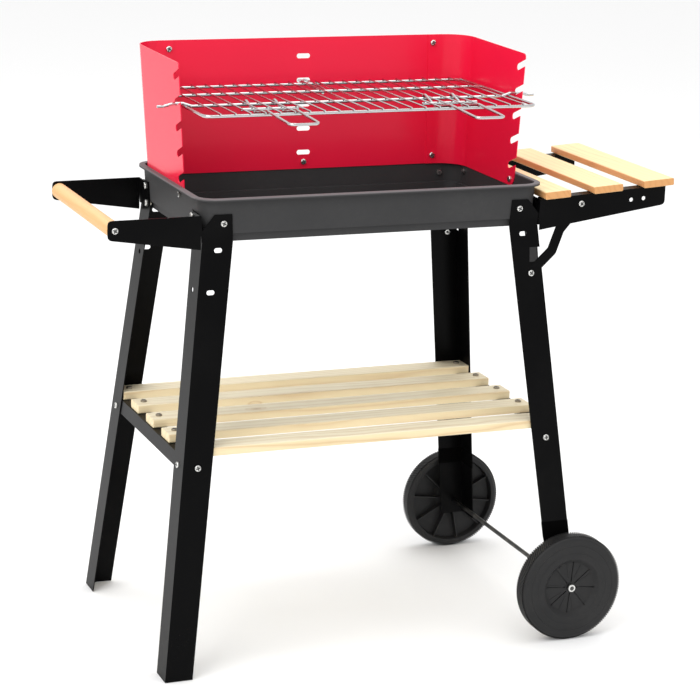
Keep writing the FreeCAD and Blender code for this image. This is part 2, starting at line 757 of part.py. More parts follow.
def slat_ys():
    """Middle of each lower slat."""
    first = -(SLAT_COUNT - 1) / 2
    return [(first + index) * SLAT_PITCH for index in range(SLAT_COUNT)]


def slat_screw_x():
    """Screws stand over the middle of the rail's flange."""
    return leg_x(SHELF_Z) - LEG_SHEET - RAIL_FLANGE / 2 - NUT_R


def board(x_size, y_size, z_size, centre):
    """Planed wooden board with eased long edges."""
    corner = V(centre.x - x_size / 2, centre.y - y_size / 2, centre.z - z_size / 2)
    block = Part.makeBox(x_size, y_size, z_size, corner)
    long_x = x_size > y_size
    edges = []
    for edge in block.Edges:
        along = edge.Vertexes[1].Point - edge.Vertexes[0].Point
        if abs(along.x if long_x else along.y) > 1:
            edges.append(edge)
    return block.makeChamfer(BOARD_EASE, edges)


def shelf_slat(y):
    """Lower shelf slat along X with a clearance hole over each rail."""
    slat = board(2 * SLAT_HALF_X, SLAT_WIDE, SLAT_THICK, V(0, y, SHELF_Z + SLAT_THICK / 2))
    hole = hole_cutter(V(slat_screw_x(), y, SHELF_Z), Z_AXIS, 30)
    return cut_all(slat, [hole, mirror_x(hole)])


# ---------------------------------------------------------------- push handle

def handle_face_y():
    """Outer face of a handle or bracket plate."""
    return leg_y(TAB_TOP_Z)


def mount_flange(low_z, high_z):
    """Flange on the outside of a right leg's side tab, from the plate towards the middle."""
    outer_y = handle_face_y()
    band = [(leg_x(low_z), low_z), (leg_x(high_z), high_z),
            (leg_x(high_z) + PLATE_SHEET, high_z), (leg_x(low_z) + PLATE_SHEET, low_z)]
    free_y = outer_y - MOUNT_WIDE
    outline = [(outer_y, low_z), (outer_y, high_z), (free_y, high_z), (free_y, low_z)]
    outline = eased(outline, (2, 3), PLATE_EASE)
    return front_prism(band, 0, PAST).common(side_prism(outline, 0, PAST))


def handle_plate():
    """Handle plate at the +X +Y corner, tapering to its free end; mirrored into place."""
    outer_y = handle_face_y()
    centre_x = -DOWEL_X
    root_x = leg_x(PLATE_TOP_Z) + SEAT_GAP
    end_x = centre_x + PLATE_END
    outline = [(root_x, PLATE_TOP_Z), (end_x, PLATE_END_TOP_Z), (end_x, PLATE_END_LOW_Z),
               (root_x, PLATE_LOW_Z)]
    plate = front_prism(eased(outline, (1, 2), PLATE_EASE), outer_y - PLATE_SHEET, outer_y)
    flange = mount_flange(MOUNT_LOW_Z, PLATE_TOP_Z)
    body = plate.fuse(flange).removeSplitter()
    cutters = [hole_cutter(V(centre_x, outer_y, DOWEL_Z), Y_AXIS, 5)]
    for z in SIDE_SCREW_ZS:
        cutters.append(hole_cutter(V(leg_x(z), SIDE_SCREW_Y, z), X_AXIS, 8))
    return cut_all(body, cutters)


def handle_dowel():
    """Turned wooden grip between the two handle plates."""
    half = handle_face_y() - PLATE_SHEET
    rod = faceted_bar(DOWEL_R, V(DOWEL_X, -half, DOWEL_Z), V(DOWEL_X, half, DOWEL_Z), DOWEL_SIDES)
    ends = [edge for edge in rod.Edges if edge.BoundBox.YLength < 0.01]
    rod = rod.makeChamfer(DOWEL_EASE, ends)
    cutters = [faceted_bar(SCREW_R, V(DOWEL_X, side * half, DOWEL_Z),
                           V(DOWEL_X, side * (half - DOWEL_SCREW), DOWEL_Z), BOLT_SIDES)
               for side in (-1, 1)]
    return cut_all(rod, cutters)


# ---------------------------------------------------------------- side shelf

def bracket_top(x):
    """Height of a bracket's top edge, rising outwards."""
    return BRACKET_TOP_Z + (x - TAB_X) * BRACKET_SLOPE


def bracket():
    """Side shelf bracket at the +X +Y corner: tapered plate, top flange, mounting flange."""
    outer_y = handle_face_y()
    root_x = leg_x(BRACKET_TOP_Z) + SEAT_GAP
    end_x = BRACKET_END_X
    low_end = bracket_top(end_x) - BRACKET_END_HIGH
    outline = [(root_x, bracket_top(root_x)), (end_x, bracket_top(end_x)), (end_x, low_end),
               (root_x, BRACKET_TOP_Z - BRACKET_ROOT_HIGH)]
    plate = front_prism(eased(outline, (2,), PLATE_EASE), outer_y - PLATE_SHEET, outer_y)
    top = [(root_x + 4, bracket_top(root_x + 4)), (end_x, bracket_top(end_x)),
           (end_x, bracket_top(end_x) - PLATE_SHEET),
           (root_x + 4, bracket_top(root_x + 4) - PLATE_SHEET)]
    shelf = front_prism(top, outer_y - BRACKET_FLANGE, outer_y)
    flange = mount_flange(MOUNT_LOW_Z, BRACKET_TOP_Z)
    body = plate.multiFuse([shelf, flange]).removeSplitter()
    cutters = [hole_cutter(V(BRACE_TOP[0], outer_y, BRACE_TOP[1]), Y_AXIS, 6)]
    for x, z in SPARE_HOLES:
        cutters.append(hole_cutter(V(x, outer_y, z), Y_AXIS, 6, SPARE_HOLE_R, SLOT_SIDES))
    for z in SIDE_SCREW_ZS:
        cutters.append(hole_cutter(V(leg_x(z), SIDE_SCREW_Y, z), X_AXIS, 8))
    for x in SIDE_SLAT_X:
        cutters.append(hole_cutter(V(x, side_screw_y(), bracket_top(x)), Z_AXIS, 5))
    return cut_all(body, cutters)


def side_screw_y():
    """Row of the wood screws that hold the side slats on a bracket's top flange."""
    return handle_face_y() - BRACKET_FLANGE / 2 - 1


def side_slat(index):
    """Side shelf slat across the two brackets, tilted with them."""
    x = SIDE_SLAT_X[index]
    slat = board(SIDE_SLAT_WIDE[index], 2 * SIDE_SLAT_HALF_Y, SIDE_SLAT_THICK,
                 V(x, 0, bracket_top(x) + SIDE_SLAT_THICK / 2))
    tilt = -math.degrees(math.atan(BRACKET_SLOPE))
    slat.rotate(V(x, 0, bracket_top(x)), Y_AXIS, tilt)
    up = lean(Z_AXIS * (1 / BRACKET_SLOPE) - X_AXIS, 0)
    cutters = []
    for side in (-1, 1):
        start = V(x, side * side_screw_y(), bracket_top(x)) - up * 3
        cutters.append(faceted_bar(SCREW_R, start, start + up * (SIDE_SLAT_SCREW + 3), BOLT_SIDES))
    return cut_all(slat, cutters)


def brace():
    """Flat bar from a bracket down to the short leg at the +X +Y corner."""
    top_x, top_z = BRACE_TOP
    foot_x, foot_z = BRACE_FOOT
    half = BRACE_WIDE / 2
    bend_x, bend_z = BRACE_KNEE
    low, high = BRACE_JOG_ZS
    face_y = handle_face_y() - PLATE_SHEET

    def face(z):
        """Outer face of the brace: on the plate above, on the leg's flange below."""
        if z >= high:
            return face_y
        if z <= low:
            return leg_y(z) - LEG_SHEET
        share = (z - low) / (high - low)
        return (leg_y(low) - LEG_SHEET) * (1 - share) + face_y * share

    levels = [foot_z - BRACE_WIDE, low, high, top_z + BRACE_WIDE]
    outer = [(face(z), z) for z in levels]
    inner = [(face(z) - BRACE_SHEET, z) for z in reversed(levels)]
    band = side_prism(outer + inner, 0, PAST)
    strip = []
    for x0, z0, x1, z1 in ((foot_x, foot_z, bend_x, bend_z), (bend_x, bend_z, top_x, top_z)):
        length = math.hypot(x1 - x0, z1 - z0)
        nx = -(z1 - z0) / length * half
        nz = (x1 - x0) / length * half
        strip.append(front_prism([(x0 + nx, z0 + nz), (x1 + nx, z1 + nz),
                                  (x1 - nx, z1 - nz), (x0 - nx, z0 - nz)], 0, PAST))
    for x, z in ((foot_x, foot_z), (bend_x, bend_z), (top_x, top_z)):
        strip.append(faceted_bar(half, V(x, 0, z), V(x, PAST, z), SLOT_SIDES))
    bar = strip[0].multiFuse(strip[1:]).common(band).removeSplitter()
    cutters = [hole_cutter(V(top_x, face_y, top_z), Y_AXIS, 8),
               hole_cutter(V(foot_x, leg_y(foot_z), foot_z), Y_AXIS, 8)]
    return cut_all(bar, cutters)


# ---------------------------------------------------------------- wheels and axle

def turned(profile, sides):
    """Solid of revolution about Y in flat facets, from a closed line of (radius, y) points."""
    faces = []
    for index in range(sides):
        turns = [2 * math.pi * (index + end) / sides for end in (0, 1)]
        for first, second in zip(profile, profile[1:] + profile[:1]):
            corners = [V(radius * math.cos(turn), y, radius * math.sin(turn))
                       for turn, pair in zip(turns, ((first, second), (second, first)))
                       for radius, y in pair]
            faces.append(Part.Face(Part.makePolygon(corners + [corners[0]])))
    return Part.Solid(Part.Shell(faces)).removeSplitter()


def wheel():
    """Moulded wheel on the +Y side: rounded tread, dished outer face, ribbed hollow inside."""
    half = WHEEL_WIDE / 2
    dish = half - DISH_DEEP
    web = dish - WHEEL_WALL
    bore = AXLE_R + AXLE_CLEAR
    pilot = bore / 2
    tread_in = WHEEL_R - TREAD_DEEP
    body = turned([(pilot, dish), (DISH_R - DISH_DEEP, dish), (DISH_R + 1, half),
                   (tread_in, half), (WHEEL_R - 2, half - TREAD_EASE),
                   (WHEEL_R, half - 2 * TREAD_EASE), (WHEEL_R, 2 * TREAD_EASE - half),
                   (WHEEL_R - 2, TREAD_EASE - half), (tread_in, -half), (tread_in, web),
                   (HUB_R, web), (HUB_R, -half), (pilot, -half)], WHEEL_SIDES)
    body = body.cut(cylinder(bore, V(0, -half, 0), V(0, dish, 0)))
    ribs = []
    grooves = []
    for index in range(SPOKE_COUNT):
        angle = index * 360.0 / SPOKE_COUNT + SPOKE_TURN
        rib = Part.makeBox(tread_in - HUB_R + 2, web + half - RIB_STEP, RIB_WIDE,
                           V(HUB_R - 1, RIB_STEP - half, -RIB_WIDE / 2))
        groove = Part.makeBox(DISH_R - DISH_DEEP - HUB_R - 2 * GROOVE_END, 2 * GROOVE_DEEP,
                              GROOVE_WIDE,
                              V(HUB_R + GROOVE_END, dish - GROOVE_DEEP, -GROOVE_WIDE / 2))
        for item, items in ((rib, ribs), (groove, grooves)):
            item.rotate(V(0, 0, 0), Y_AXIS, angle)
            items.append(item)
    body = cut_all(body.multiFuse(ribs).removeSplitter(), grooves)
    body.translate(V(AXLE_X, WHEEL_Y, WHEEL_R))
    return body


def axle_reach():
    """How far the axle runs to each side."""
    return WHEEL_Y + WHEEL_WIDE / 2 - DISH_DEEP + AXLE_END


def axle_grip():
    """Corner radius of a many-sided bore whose flats touch the axle."""
    return AXLE_R / math.cos(math.pi / SLOT_SIDES)


def axle():
    """Plain steel rod through both short legs."""
    half = axle_reach()
    return cylinder(AXLE_R, V(AXLE_X, -half, WHEEL_R), V(AXLE_X, half, WHEEL_R))


def axle_cap():
    """Push-on cap over the axle's end, just off the wheel's dish."""
    end = axle_reach()
    face = end - AXLE_END + SEAT_GAP
    outer = faceted_bar(CAP_R, V(AXLE_X, face, WHEEL_R), V(AXLE_X, end + CAP_WALL, WHEEL_R),
                        SLOT_SIDES)
    return outer.cut(faceted_bar(axle_grip(), V(AXLE_X, face - 1, WHEEL_R),
                                 V(AXLE_X, end, WHEEL_R), SLOT_SIDES))


def axle_washer():
    """Washer between a short leg and the wheel's hub."""
    hub = WHEEL_Y - WHEEL_WIDE / 2 - SEAT_GAP
    ring = faceted_bar(WASHER_R, V(AXLE_X, hub - 1.0, WHEEL_R), V(AXLE_X, hub, WHEEL_R),
                       SLOT_SIDES)
    return ring.cut(faceted_bar(axle_grip(), V(AXLE_X, hub - 3, WHEEL_R),
                                V(AXLE_X, hub + 3, WHEEL_R), SLOT_SIDES))


# ---------------------------------------------------------------- fasteners

def group(items):
    """Separate solids kept together in one node."""
    return Part.makeCompound(items)


def four_fastenings(seat, outward, stack):
    """A screw and its nut at each of the four corners, as two lists."""
    item, end = fastening(seat, outward, stack)
    return all_corners(item), all_corners(end)


def collect(pairs):
    """Join several (screws, nuts) pairs into one pair."""
    screws = []
    nuts = []
    for some_screws, some_nuts in pairs:
        screws += some_screws
        nuts += some_nuts
    return screws, nuts


def leg_fasteners():
    """Through the leg tabs; the side ones also hold the handle plates and the brackets."""
    square = math.cos(math.atan(DRAFT))
    out_x = lean(X_AXIS, -DRAFT)
    out_y = lean(Y_AXIS, -DRAFT)
    z = TAB_SCREW_Z
    pairs = [four_fastenings(V(TAB_SCREW_X, leg_y(z), z), out_y,
                             (LEG_SHEET + PAN_SHEET) * square)]
    for z, stack in zip(SIDE_SCREW_ZS, (PAN_SHEET + LEG_SHEET + PLATE_SHEET,
                                        LEG_SHEET + PLATE_SHEET)):
        seat = V(leg_x(z) + PLATE_SHEET, SIDE_SCREW_Y, z)
        pairs.append(four_fastenings(seat, out_x, stack * square))
    return collect(pairs)


def shield_fasteners():
    """Windshield: seams, front corners and the middle of the back, heads inside."""
    square = math.cos(math.atan(DRAFT))
    inward_x = lean(X_AXIS * -1, DRAFT)
    inward_y = lean(Y_AXIS * -1, DRAFT)
    seats = [(V(SEAM_SCREW_X, wall_y(z) - 2 * SHIELD_SHEET, z), inward_y, stack)
             for z, stack in zip(SEAM_SCREW_ZS, (2 * SHIELD_SHEET, 2 * SHIELD_SHEET + PAN_SHEET))]
    y, z = SHIELD_FRONT_SCREW
    wall_stack = SHIELD_SHEET + PAN_SHEET
    seats.append((V(wall_x(z) - SHIELD_SHEET, y, z), inward_x, wall_stack))
    screws = []
    nuts = []
    for seat, inward, stack in seats:
        item, end = fastening(seat, inward, stack * square)
        screws += [item, mirror_x(item)]
        nuts += [end, mirror_x(end)]
    x, z = SHIELD_BACK_SCREW
    item, end = fastening(V(x, wall_y(z) - SHIELD_SHEET, z), inward_y, wall_stack * square)
    return screws + [item], nuts + [end]


def rail_fasteners():
    """The shelf rails to the legs, one from the side and one from the end at each corner."""
    z = RAIL_SCREW_Z
    side = four_fastenings(V(leg_x(z), leg_y(z) - RAIL_SIDE_IN, z), lean(X_AXIS, SPLAY_X),
                           2 * LEG_SHEET * math.cos(math.atan(SPLAY_X)))
    end = four_fastenings(V(leg_x(z) - RAIL_END_IN, leg_y(z), z), lean(Y_AXIS, SPLAY_Y),
                          2 * LEG_SHEET * math.cos(math.atan(SPLAY_Y)))
    return collect([side, end])


def brace_fasteners():
    """Both ends of the two braces."""
    x, z = BRACE_TOP
    top = fastening(V(x, handle_face_y(), z), Y_AXIS, PLATE_SHEET + BRACE_SHEET)
    x, z = BRACE_FOOT
    foot = fastening(V(x, leg_y(z), z), lean(Y_AXIS, SPLAY_Y),
                     (LEG_SHEET + BRACE_SHEET) * math.cos(math.atan(SPLAY_Y)))
    screws = []
    nuts = []
    for item, end in (top, foot):
        screws += [item, mirror_y(item)]
        nuts += [end, mirror_y(end)]
    return screws, nuts


def slat_fasteners():
    """Down through the lower slats into nuts under the rails."""
    screws = []
    nuts = []
    for y in slat_ys():
        seat = V(slat_screw_x(), y, SHELF_Z + SLAT_THICK)
        item, end = fastening(seat, Z_AXIS, SLAT_THICK + LEG_SHEET)
        screws += [item, mirror_x(item)]
        nuts += [end, mirror_x(end)]
    return screws, nuts


def side_slat_screws():
    """Wood screws up through the bracket flanges into the side slats."""
    up = lean(Z_AXIS * (1 / BRACKET_SLOPE) - X_AXIS, 0)
    screws = []
    for x in SIDE_SLAT_X:
        for side in (-1, 1):
            top = V(x, side * side_screw_y(), bracket_top(x))
            seat = top - up * (PLATE_SHEET * up.z)
            screws.append(screw(seat, up * -1, SIDE_SLAT_SCREW))
    return screws


def dowel_screws():
    """Wood screws through the handle plates into the dowel's ends."""
    item = screw(V(DOWEL_X, handle_face_y(), DOWEL_Z), Y_AXIS, DOWEL_SCREW)
    return [item, mirror_y(item)]


# ---------------------------------------------------------------- output

def build():
    """Make every node and write it out."""
    os.makedirs("parts", exist_ok=True)
    save(fire_pan(), "fire_pan")
    save(shield_back(), "windshield_back")
    side = shield_side()
    save(side, "windshield_right")
    save(mirror_x(side), "windshield_left")
    save(grate(), "grate")
    right_grip = grip()
    save(right_grip, "grate_grip_right")
    save(mirror_x(right_grip), "grate_grip_left")

    long_leg = mirror_x(leg(0.0))
    short_leg = leg(SHORT_LEG_Z)
    save(long_leg, "leg_back_left")
    save(mirror_y(long_leg), "leg_front_left")
    save(short_leg, "leg_back_right")
    save(mirror_y(short_leg), "leg_front_right")

    rail = shelf_rail()
    save(rail, "shelf_rail_right")
    save(mirror_x(rail), "shelf_rail_left")
    for index, y in enumerate(slat_ys()):
        save(shelf_slat(y), "shelf_slat_" + str(index + 1))

    plate = mirror_x(handle_plate())
    save(plate, "handle_plate_back")
    save(mirror_y(plate), "handle_plate_front")
    save(handle_dowel(), "handle_dowel")

    arm = bracket()
    save(arm, "side_bracket_back")
    save(mirror_y(arm), "side_bracket_front")
    bar = brace()
    save(bar, "side_brace_back")
    save(mirror_y(bar), "side_brace_front")
    for index in range(len(SIDE_SLAT_X)):
        save(side_slat(index), "side_slat_" + str(index + 1))

    back_wheel = wheel()
    save(back_wheel, "wheel_back")
    save(mirror_y(back_wheel), "wheel_front")
    save(axle(), "axle")
    cap = axle_cap()
    save(group([cap, mirror_y(cap)]), "axle_caps")
    washer = axle_washer()
    save(group([washer, mirror_y(washer)]), "axle_washers")

    sets = (("leg", leg_fasteners()), ("windshield", shield_fasteners()),
            ("rail", rail_fasteners()), ("brace", brace_fasteners()),
            ("shelf_slat", slat_fasteners()))
    for name, (screws, nuts) in sets:
        save(group(screws), name + "_screws")
        save(group(nuts), name + "_nuts")
    save(group(side_slat_screws()), "side_slat_screws")
    save(group(dowel_screws()), "dowel_screws")


build()
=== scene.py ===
"""Looks of a trolley grill: enamelled pan and windshield, wire grate, folded legs, pine slats
and moulded wheels."""

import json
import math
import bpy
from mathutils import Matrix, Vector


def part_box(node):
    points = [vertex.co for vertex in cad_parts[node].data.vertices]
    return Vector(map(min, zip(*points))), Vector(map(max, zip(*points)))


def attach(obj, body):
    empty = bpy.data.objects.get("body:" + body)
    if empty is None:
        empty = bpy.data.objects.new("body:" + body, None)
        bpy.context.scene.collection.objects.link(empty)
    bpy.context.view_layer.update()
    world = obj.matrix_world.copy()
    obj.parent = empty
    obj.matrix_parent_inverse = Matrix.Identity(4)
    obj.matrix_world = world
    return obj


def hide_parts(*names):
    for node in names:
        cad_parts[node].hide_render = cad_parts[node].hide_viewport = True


bl_info = {
    "name": "Trolley grill",
    "version": (1, 0, 0),
    "blender": (4, 5, 0),
    "location": "3D View > Sidebar > Grill",
    "description": "Builds the finishes and the detailed pieces of a trolley grill",
    "category": "Object",
}

import bpy
import bmesh
import numpy as np
from bpy.props import FloatProperty, FloatVectorProperty, IntProperty, PointerProperty
from mathutils import Matrix, Vector

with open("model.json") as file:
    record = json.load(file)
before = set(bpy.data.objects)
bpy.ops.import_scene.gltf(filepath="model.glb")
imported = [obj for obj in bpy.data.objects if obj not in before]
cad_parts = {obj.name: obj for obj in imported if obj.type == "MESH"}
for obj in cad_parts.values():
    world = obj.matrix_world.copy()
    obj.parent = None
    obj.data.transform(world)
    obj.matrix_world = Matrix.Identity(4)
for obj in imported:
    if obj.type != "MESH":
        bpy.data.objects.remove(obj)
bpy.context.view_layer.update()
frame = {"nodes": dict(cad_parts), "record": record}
NODES = frame["nodes"]
MM = 0.001

# ------------------------------------------------------------------ fixed places and proportions
# Plain numbers of the grate, grips and braces are in millimetres, with x from the pan's middle. A
# name that ends in HALF holds one half of a wire that mirrors itself. The rest is in metres.

ROD_Y = -40.63
SEAT_Z = 739.12
LOW_Z = SEAT_Z - 4.0
ROD_HALF = ((270.0, ROD_Y, LOW_Z + 1), (261.0, ROD_Y, LOW_Z + 1), (249.0, ROD_Y, SEAT_Z),
            (235.0, ROD_Y, SEAT_Z), (223.0, ROD_Y, LOW_Z))
ROD_BEND = 7.0 * MM
FRAME_X = 233.0
FRAME_HALF = ((FRAME_X, 122.0, LOW_Z), (FRAME_X, -129.0, LOW_Z))
FRAME_BEND = 13.0 * MM
CROSS_ROD_X = 235.0
CROSS_RODS_Y = (50.0, 119.0)
THIN_WIRES = 22
THIN_WIRE_ENDS = (-132.0, 122.0)
WELD_SINK = 0.2
SLOT_TOP = 771.0
SLOT_PITCH = 33.9
TONGUE_Z = SLOT_TOP - SLOT_PITCH - 1.1
TONGUE_HALF = ((5.5, 50.0, LOW_Z - 2.5), (5.5, 119.0, TONGUE_Z), (5.5, 151.0, TONGUE_Z))
TONGUE_BEND = 3.5 * MM

GRIP_X = 128.0
GRIP_HALF = tuple((20.0, y, LOW_Z + z) for y, z in (
    (-33.5, 0.5), (-37.5, 6.2), (-78.0, -5.2), (-129.0, 4.4), (-213.0, 0.4)))
GRIP_BEND = 8.0 * MM
GRIP_BAR_HALF = ((40.0, -78.0, LOW_Z - 0.6),)

BRACE_PATH = ((301.6, 600.5), (272.0, 566.0), (258.5, 538.0), (228.0, 509.3))
BRACE_WIDE = 14.0 * MM
BRACE_THICK = 2.0 * MM
BRACE_JOG_Z = 0.548

# Steps across the end faces of a wheel, from the rim inwards: (radial, height) in millimetres.
DISH_RINGS = ((6.0, 0.0), (0.5, -0.35), (0.9, 0.0), (0.5, 0.35), (9.0, 0.0), (0.4, -0.25),
              (0.5, 0.25), (8.0, 0.0), (1.2, -0.5), (5.6, -5.2), (1.0, -0.3), (20.0, 0.0),
              (1.0, 0.5), (3.2, 0.0))
HOLLOW_RINGS = ((3.0, 0.0), (0.8, -0.6), (1.5, -10.0), (34.0, -3.0), (0.8, -0.5), (6.0, 0.0),
                (0.8, 0.5), (10.0, 2.0), (1.0, 9.5), (6.0, 0.5))
CAP_RINGS = ((1.5, 0.0), (0.3, -0.8), (0.3, 0.0))
WHEEL_ROUNDING = 5.0 * MM
DISH_DEPTH = 6.0 * MM
GROOVES = 8
GROOVE_MIDDLE = 0.0225
GROOVE_SIZE = (0.029, 2.4 * MM, 1.7 * MM)
RIBS = 10
RIB_PLACE = (0.038, -1.0 * MM, 0.0)
RIB_LONG = 0.054
RIB_THICK = 1.8 * MM
TREAD_BAR_WIDE = 1.7 * MM
TREAD_SLANT = 24  # degrees

HEAD_TALL = 2.6 * MM
HEAD_ROUNDING = 1.7 * MM
ARM_LONG = 6.0 * MM
ARM_WIDE = 1.6 * MM
ARM_DEEP = 3.2 * MM
RECESS_REACH = 3.1 * MM
SHANK_RADIUS = 1.9 * MM
SCREW_TURN = 2.4  # radians from each screw's cross to the next
CAP_DEPTH = 3.0 * MM
CAP_ROUNDING = 0.7 * MM
CAP_DARK = 3.2 * MM
# Heights of the dark band round the lower right legs, just above the wheels.
DARK_BAND_Z = (0.139, 0.163)

LAMPS = (("key", (-2.6, -1.6, 3.0), 2.4, 60.0), ("top", (0.6, 0.4, 3.6), 3.0, 55.0))
LAMP_AIM = (0, 0, 0.4)
LENS = 122.23
CAMERA_TURN = (-21.63, 14.59, 1.54)  # azimuth, elevation and roll in degrees
CAMERA_TARGET = (0.11132, 0.21851, 0.31760)
CAMERA_AWAY = 3.55806


def middle(node):
    """Middle of a node's box."""
    low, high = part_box(node)
    return (low + high) / 2


def body_of(node):
    """The moving body a node belongs to."""
    bodies = frame["record"]["behaviour"]["bodies"]
    return next(body for body, members in bodies.items() if node in members)


def node_names(*starts):
    """Names of the nodes that begin with any of these words."""
    return sorted(n for n in NODES if n.startswith(starts))


# ------------------------------------------------------------------ settings

def colour(name, text, value):
    """A colour setting."""
    return FloatVectorProperty(name=name, description=text, default=value, size=3,
                               subtype="COLOR", min=0.0, max=1.0)


def length(name, text, value):
    """A length setting."""
    return FloatProperty(name=name, description=text, default=value, min=0.0,
                         unit="LENGTH", subtype="DISTANCE")


class GrillColours(bpy.types.PropertyGroup):
    """Colours of the grill's finishes."""
    red: colour("Windshield", "Enamel of the windshield", (0.86, 0.010, 0.050))
    pan: colour("Pan", "Enamel of the fire pan", (0.042, 0.042, 0.043))
    paint: colour("Legs", "Paint of the legs and brackets", (0.0015, 0.0015, 0.0017))
    chrome: colour("Wire", "Plating of the grate", (0.55, 0.55, 0.56))
    zinc: colour("Screws", "Plating of the fasteners", (0.66, 0.66, 0.64))
    pine: colour("Lower slats", "Planed pine", (0.86, 0.77, 0.56))
    pine_late: colour("Pine grain", "Late wood and knots of the pine", (0.52, 0.30, 0.12))
    side: colour("Side slats", "Pine of the side shelf", (0.86, 0.68, 0.38))
    beech: colour("Dowel", "Turned handle", (0.80, 0.50, 0.24))
    plastic: colour("Wheels", "Moulded wheels", (0.013, 0.013, 0.0135))
    floor: colour("Floor", "Floor of the stage", (0.93, 0.93, 0.93))


class GrillSizes(bpy.types.PropertyGroup):
    """Sizes of the detail that the solids leave out."""
    fold: length("Fold", "Rounding of sheet edges", 0.4 * MM)
    board: length("Board edge", "Rounding of board edges", 0.7 * MM)
    rod: length("Rod radius", "Radius of the grate's rods", 2.1 * MM)
    wire: length("Wire radius", "Radius of the grate's thin wires", 1.2 * MM)
    grip: length("Grip radius", "Radius of the grip wire", 1.9 * MM)
    head: length("Screw head radius", "Radius of a pan head", 4.4 * MM)
    tread: length("Tread depth", "Height of the tread bars", 1.5 * MM)
    bars: IntProperty(name="Tread bars", description="Bars round a wheel", default=140, min=8)


# ------------------------------------------------------------------ modelling helpers

def select_only(*objs):
    """Object mode, with only these objects selected and the first one active."""
    if bpy.context.object and bpy.context.object.mode != "OBJECT":
        bpy.ops.object.mode_set(mode="OBJECT")
    bpy.ops.object.select_all(action="DESELECT")
    for obj in objs:
        obj.select_set(True)
    bpy.context.view_layer.objects.active = objs[0]


def start(operator, **sizes):
    """Add a primitive with nothing else selected, and put its place into its mesh."""
    if bpy.context.object and bpy.context.object.mode != "OBJECT":
        bpy.ops.object.mode_set(mode="OBJECT")
    bpy.ops.object.select_all(action="DESELECT")
    operator(**sizes)
    bpy.ops.object.transform_apply(location=True, rotation=True, scale=True)
    return bpy.context.object


def settle(obj, name, mat, body, replaces=(), angle=30.0):
    """Name a finished piece, shade it, give it its finish and hang it on its body."""
    select_only(obj)
    obj.name = name
    obj.data.name = name
    bpy.ops.object.shade_smooth_by_angle(angle=math.radians(angle))
    apply_modifier(obj, "WEIGHTED_NORMAL", weight=90, keep_sharp=True)
    finishes = mat if isinstance(mat, tuple) else (mat,)
    while len(obj.data.materials) < len(finishes):
        obj.data.materials.append(None)
    while len(obj.data.materials) > len(finishes):
        obj.data.materials.pop()
    for index, finish in enumerate(finishes):
        obj.data.materials[index] = finish
    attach(obj, body)
    if replaces:
        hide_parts(*replaces)
    return obj


def pick(obj, test, kind="FACE"):
    """In edit mode, select the faces or edges that pass a test."""
    bpy.ops.mesh.select_mode(type=kind)
    bpy.ops.mesh.select_all(action="DESELECT")
    mesh = bmesh.from_edit_mesh(obj.data)
    items = mesh.faces if kind == "FACE" else mesh.edges
    for item in items:
        if test(item):
            item.select_set(True)
    mesh.select_flush_mode()
    bmesh.update_edit_mesh(obj.data)


def is_corner(edge):
    """Whether an edge joins two faces at a clear angle."""
    return len(edge.link_faces) == 2 and edge.calc_face_angle(0.0) > 1.0


def tidy_normals(obj):
    """Merge doubles and turn every face outwards."""
    select_only(obj)
    bpy.ops.object.mode_set(mode="EDIT")
    bpy.ops.mesh.select_all(action="SELECT")
    bpy.ops.mesh.remove_doubles(threshold=1e-6)
    bpy.ops.mesh.normals_make_consistent(inside=False)
    bpy.ops.object.mode_set(mode="OBJECT")


def apply_modifier(obj, kind, **values):
    """Add a modifier, set it and apply it."""
    select_only(obj)
    modifier = obj.modifiers.new(kind.title(), kind)
    for key, value in values.items():
        setattr(modifier, key, value)
    bpy.ops.object.modifier_apply(modifier=modifier.name)


def combine(obj, tool, operation):
    """Join a piece with another one or cut it by it; the other one is used up."""
    apply_modifier(obj, "BOOLEAN", object=tool, operation=operation, solver="EXACT")
    bpy.data.objects.remove(tool)


def twin(obj, matrix):
    """Copy of a piece with its own mesh, moved by a matrix."""
    select_only(obj)
    bpy.ops.object.duplicate(linked=False)
    other = bpy.context.object
    other.data.transform(matrix)
    if matrix.determinant() < 0:
        tidy_normals(other)
    return other


def ring_of(model, count, first=0.0):
    """Even copies of a piece round the Y axis, in its place; the first is turned by degrees."""
    copies = [twin(model, Matrix.Rotation(math.radians(360 * index / count + first), 4, "Y"))
              for index in range(count)]
    bpy.data.objects.remove(model)
    return copies


def joined(objs):
    """One mesh out of several."""
    select_only(*objs)
    if len(objs) > 1:
        bpy.ops.object.join()
    return bpy.context.object


def eased_copy(node, width, steps=2):
    """Copy of a node with its triangles merged, flat faces joined up and edges rounded."""
    obj = bpy.data.objects.new(node + "_work", NODES[node].data.copy())
    bpy.context.scene.collection.objects.link(obj)
    select_only(obj)
    bpy.ops.object.mode_set(mode="EDIT")
    bpy.ops.mesh.select_all(action="SELECT")
    bpy.ops.mesh.remove_doubles(threshold=2e-6)
    bpy.ops.mesh.dissolve_limited(angle_limit=math.radians(0.4))
    bpy.ops.object.mode_set(mode="OBJECT")
    if obj.data.has_custom_normals:
        bpy.ops.mesh.customdata_custom_splitnormals_clear()
    apply_modifier(obj, "BEVEL", width=width, segments=steps, limit_method="ANGLE",
                   angle_limit=math.radians(28), use_clamp_overlap=True, miter_outer="MITER_ARC")
    return obj


def finish_nodes(names, width, mat, steps=2):
    """Rounded-edge copies that stand for whole nodes."""
    for node in names:
        piece = eased_copy(node, width, steps)
        settle(piece, node + "_finished", mat, body_of(node), (node,), angle=32.0)


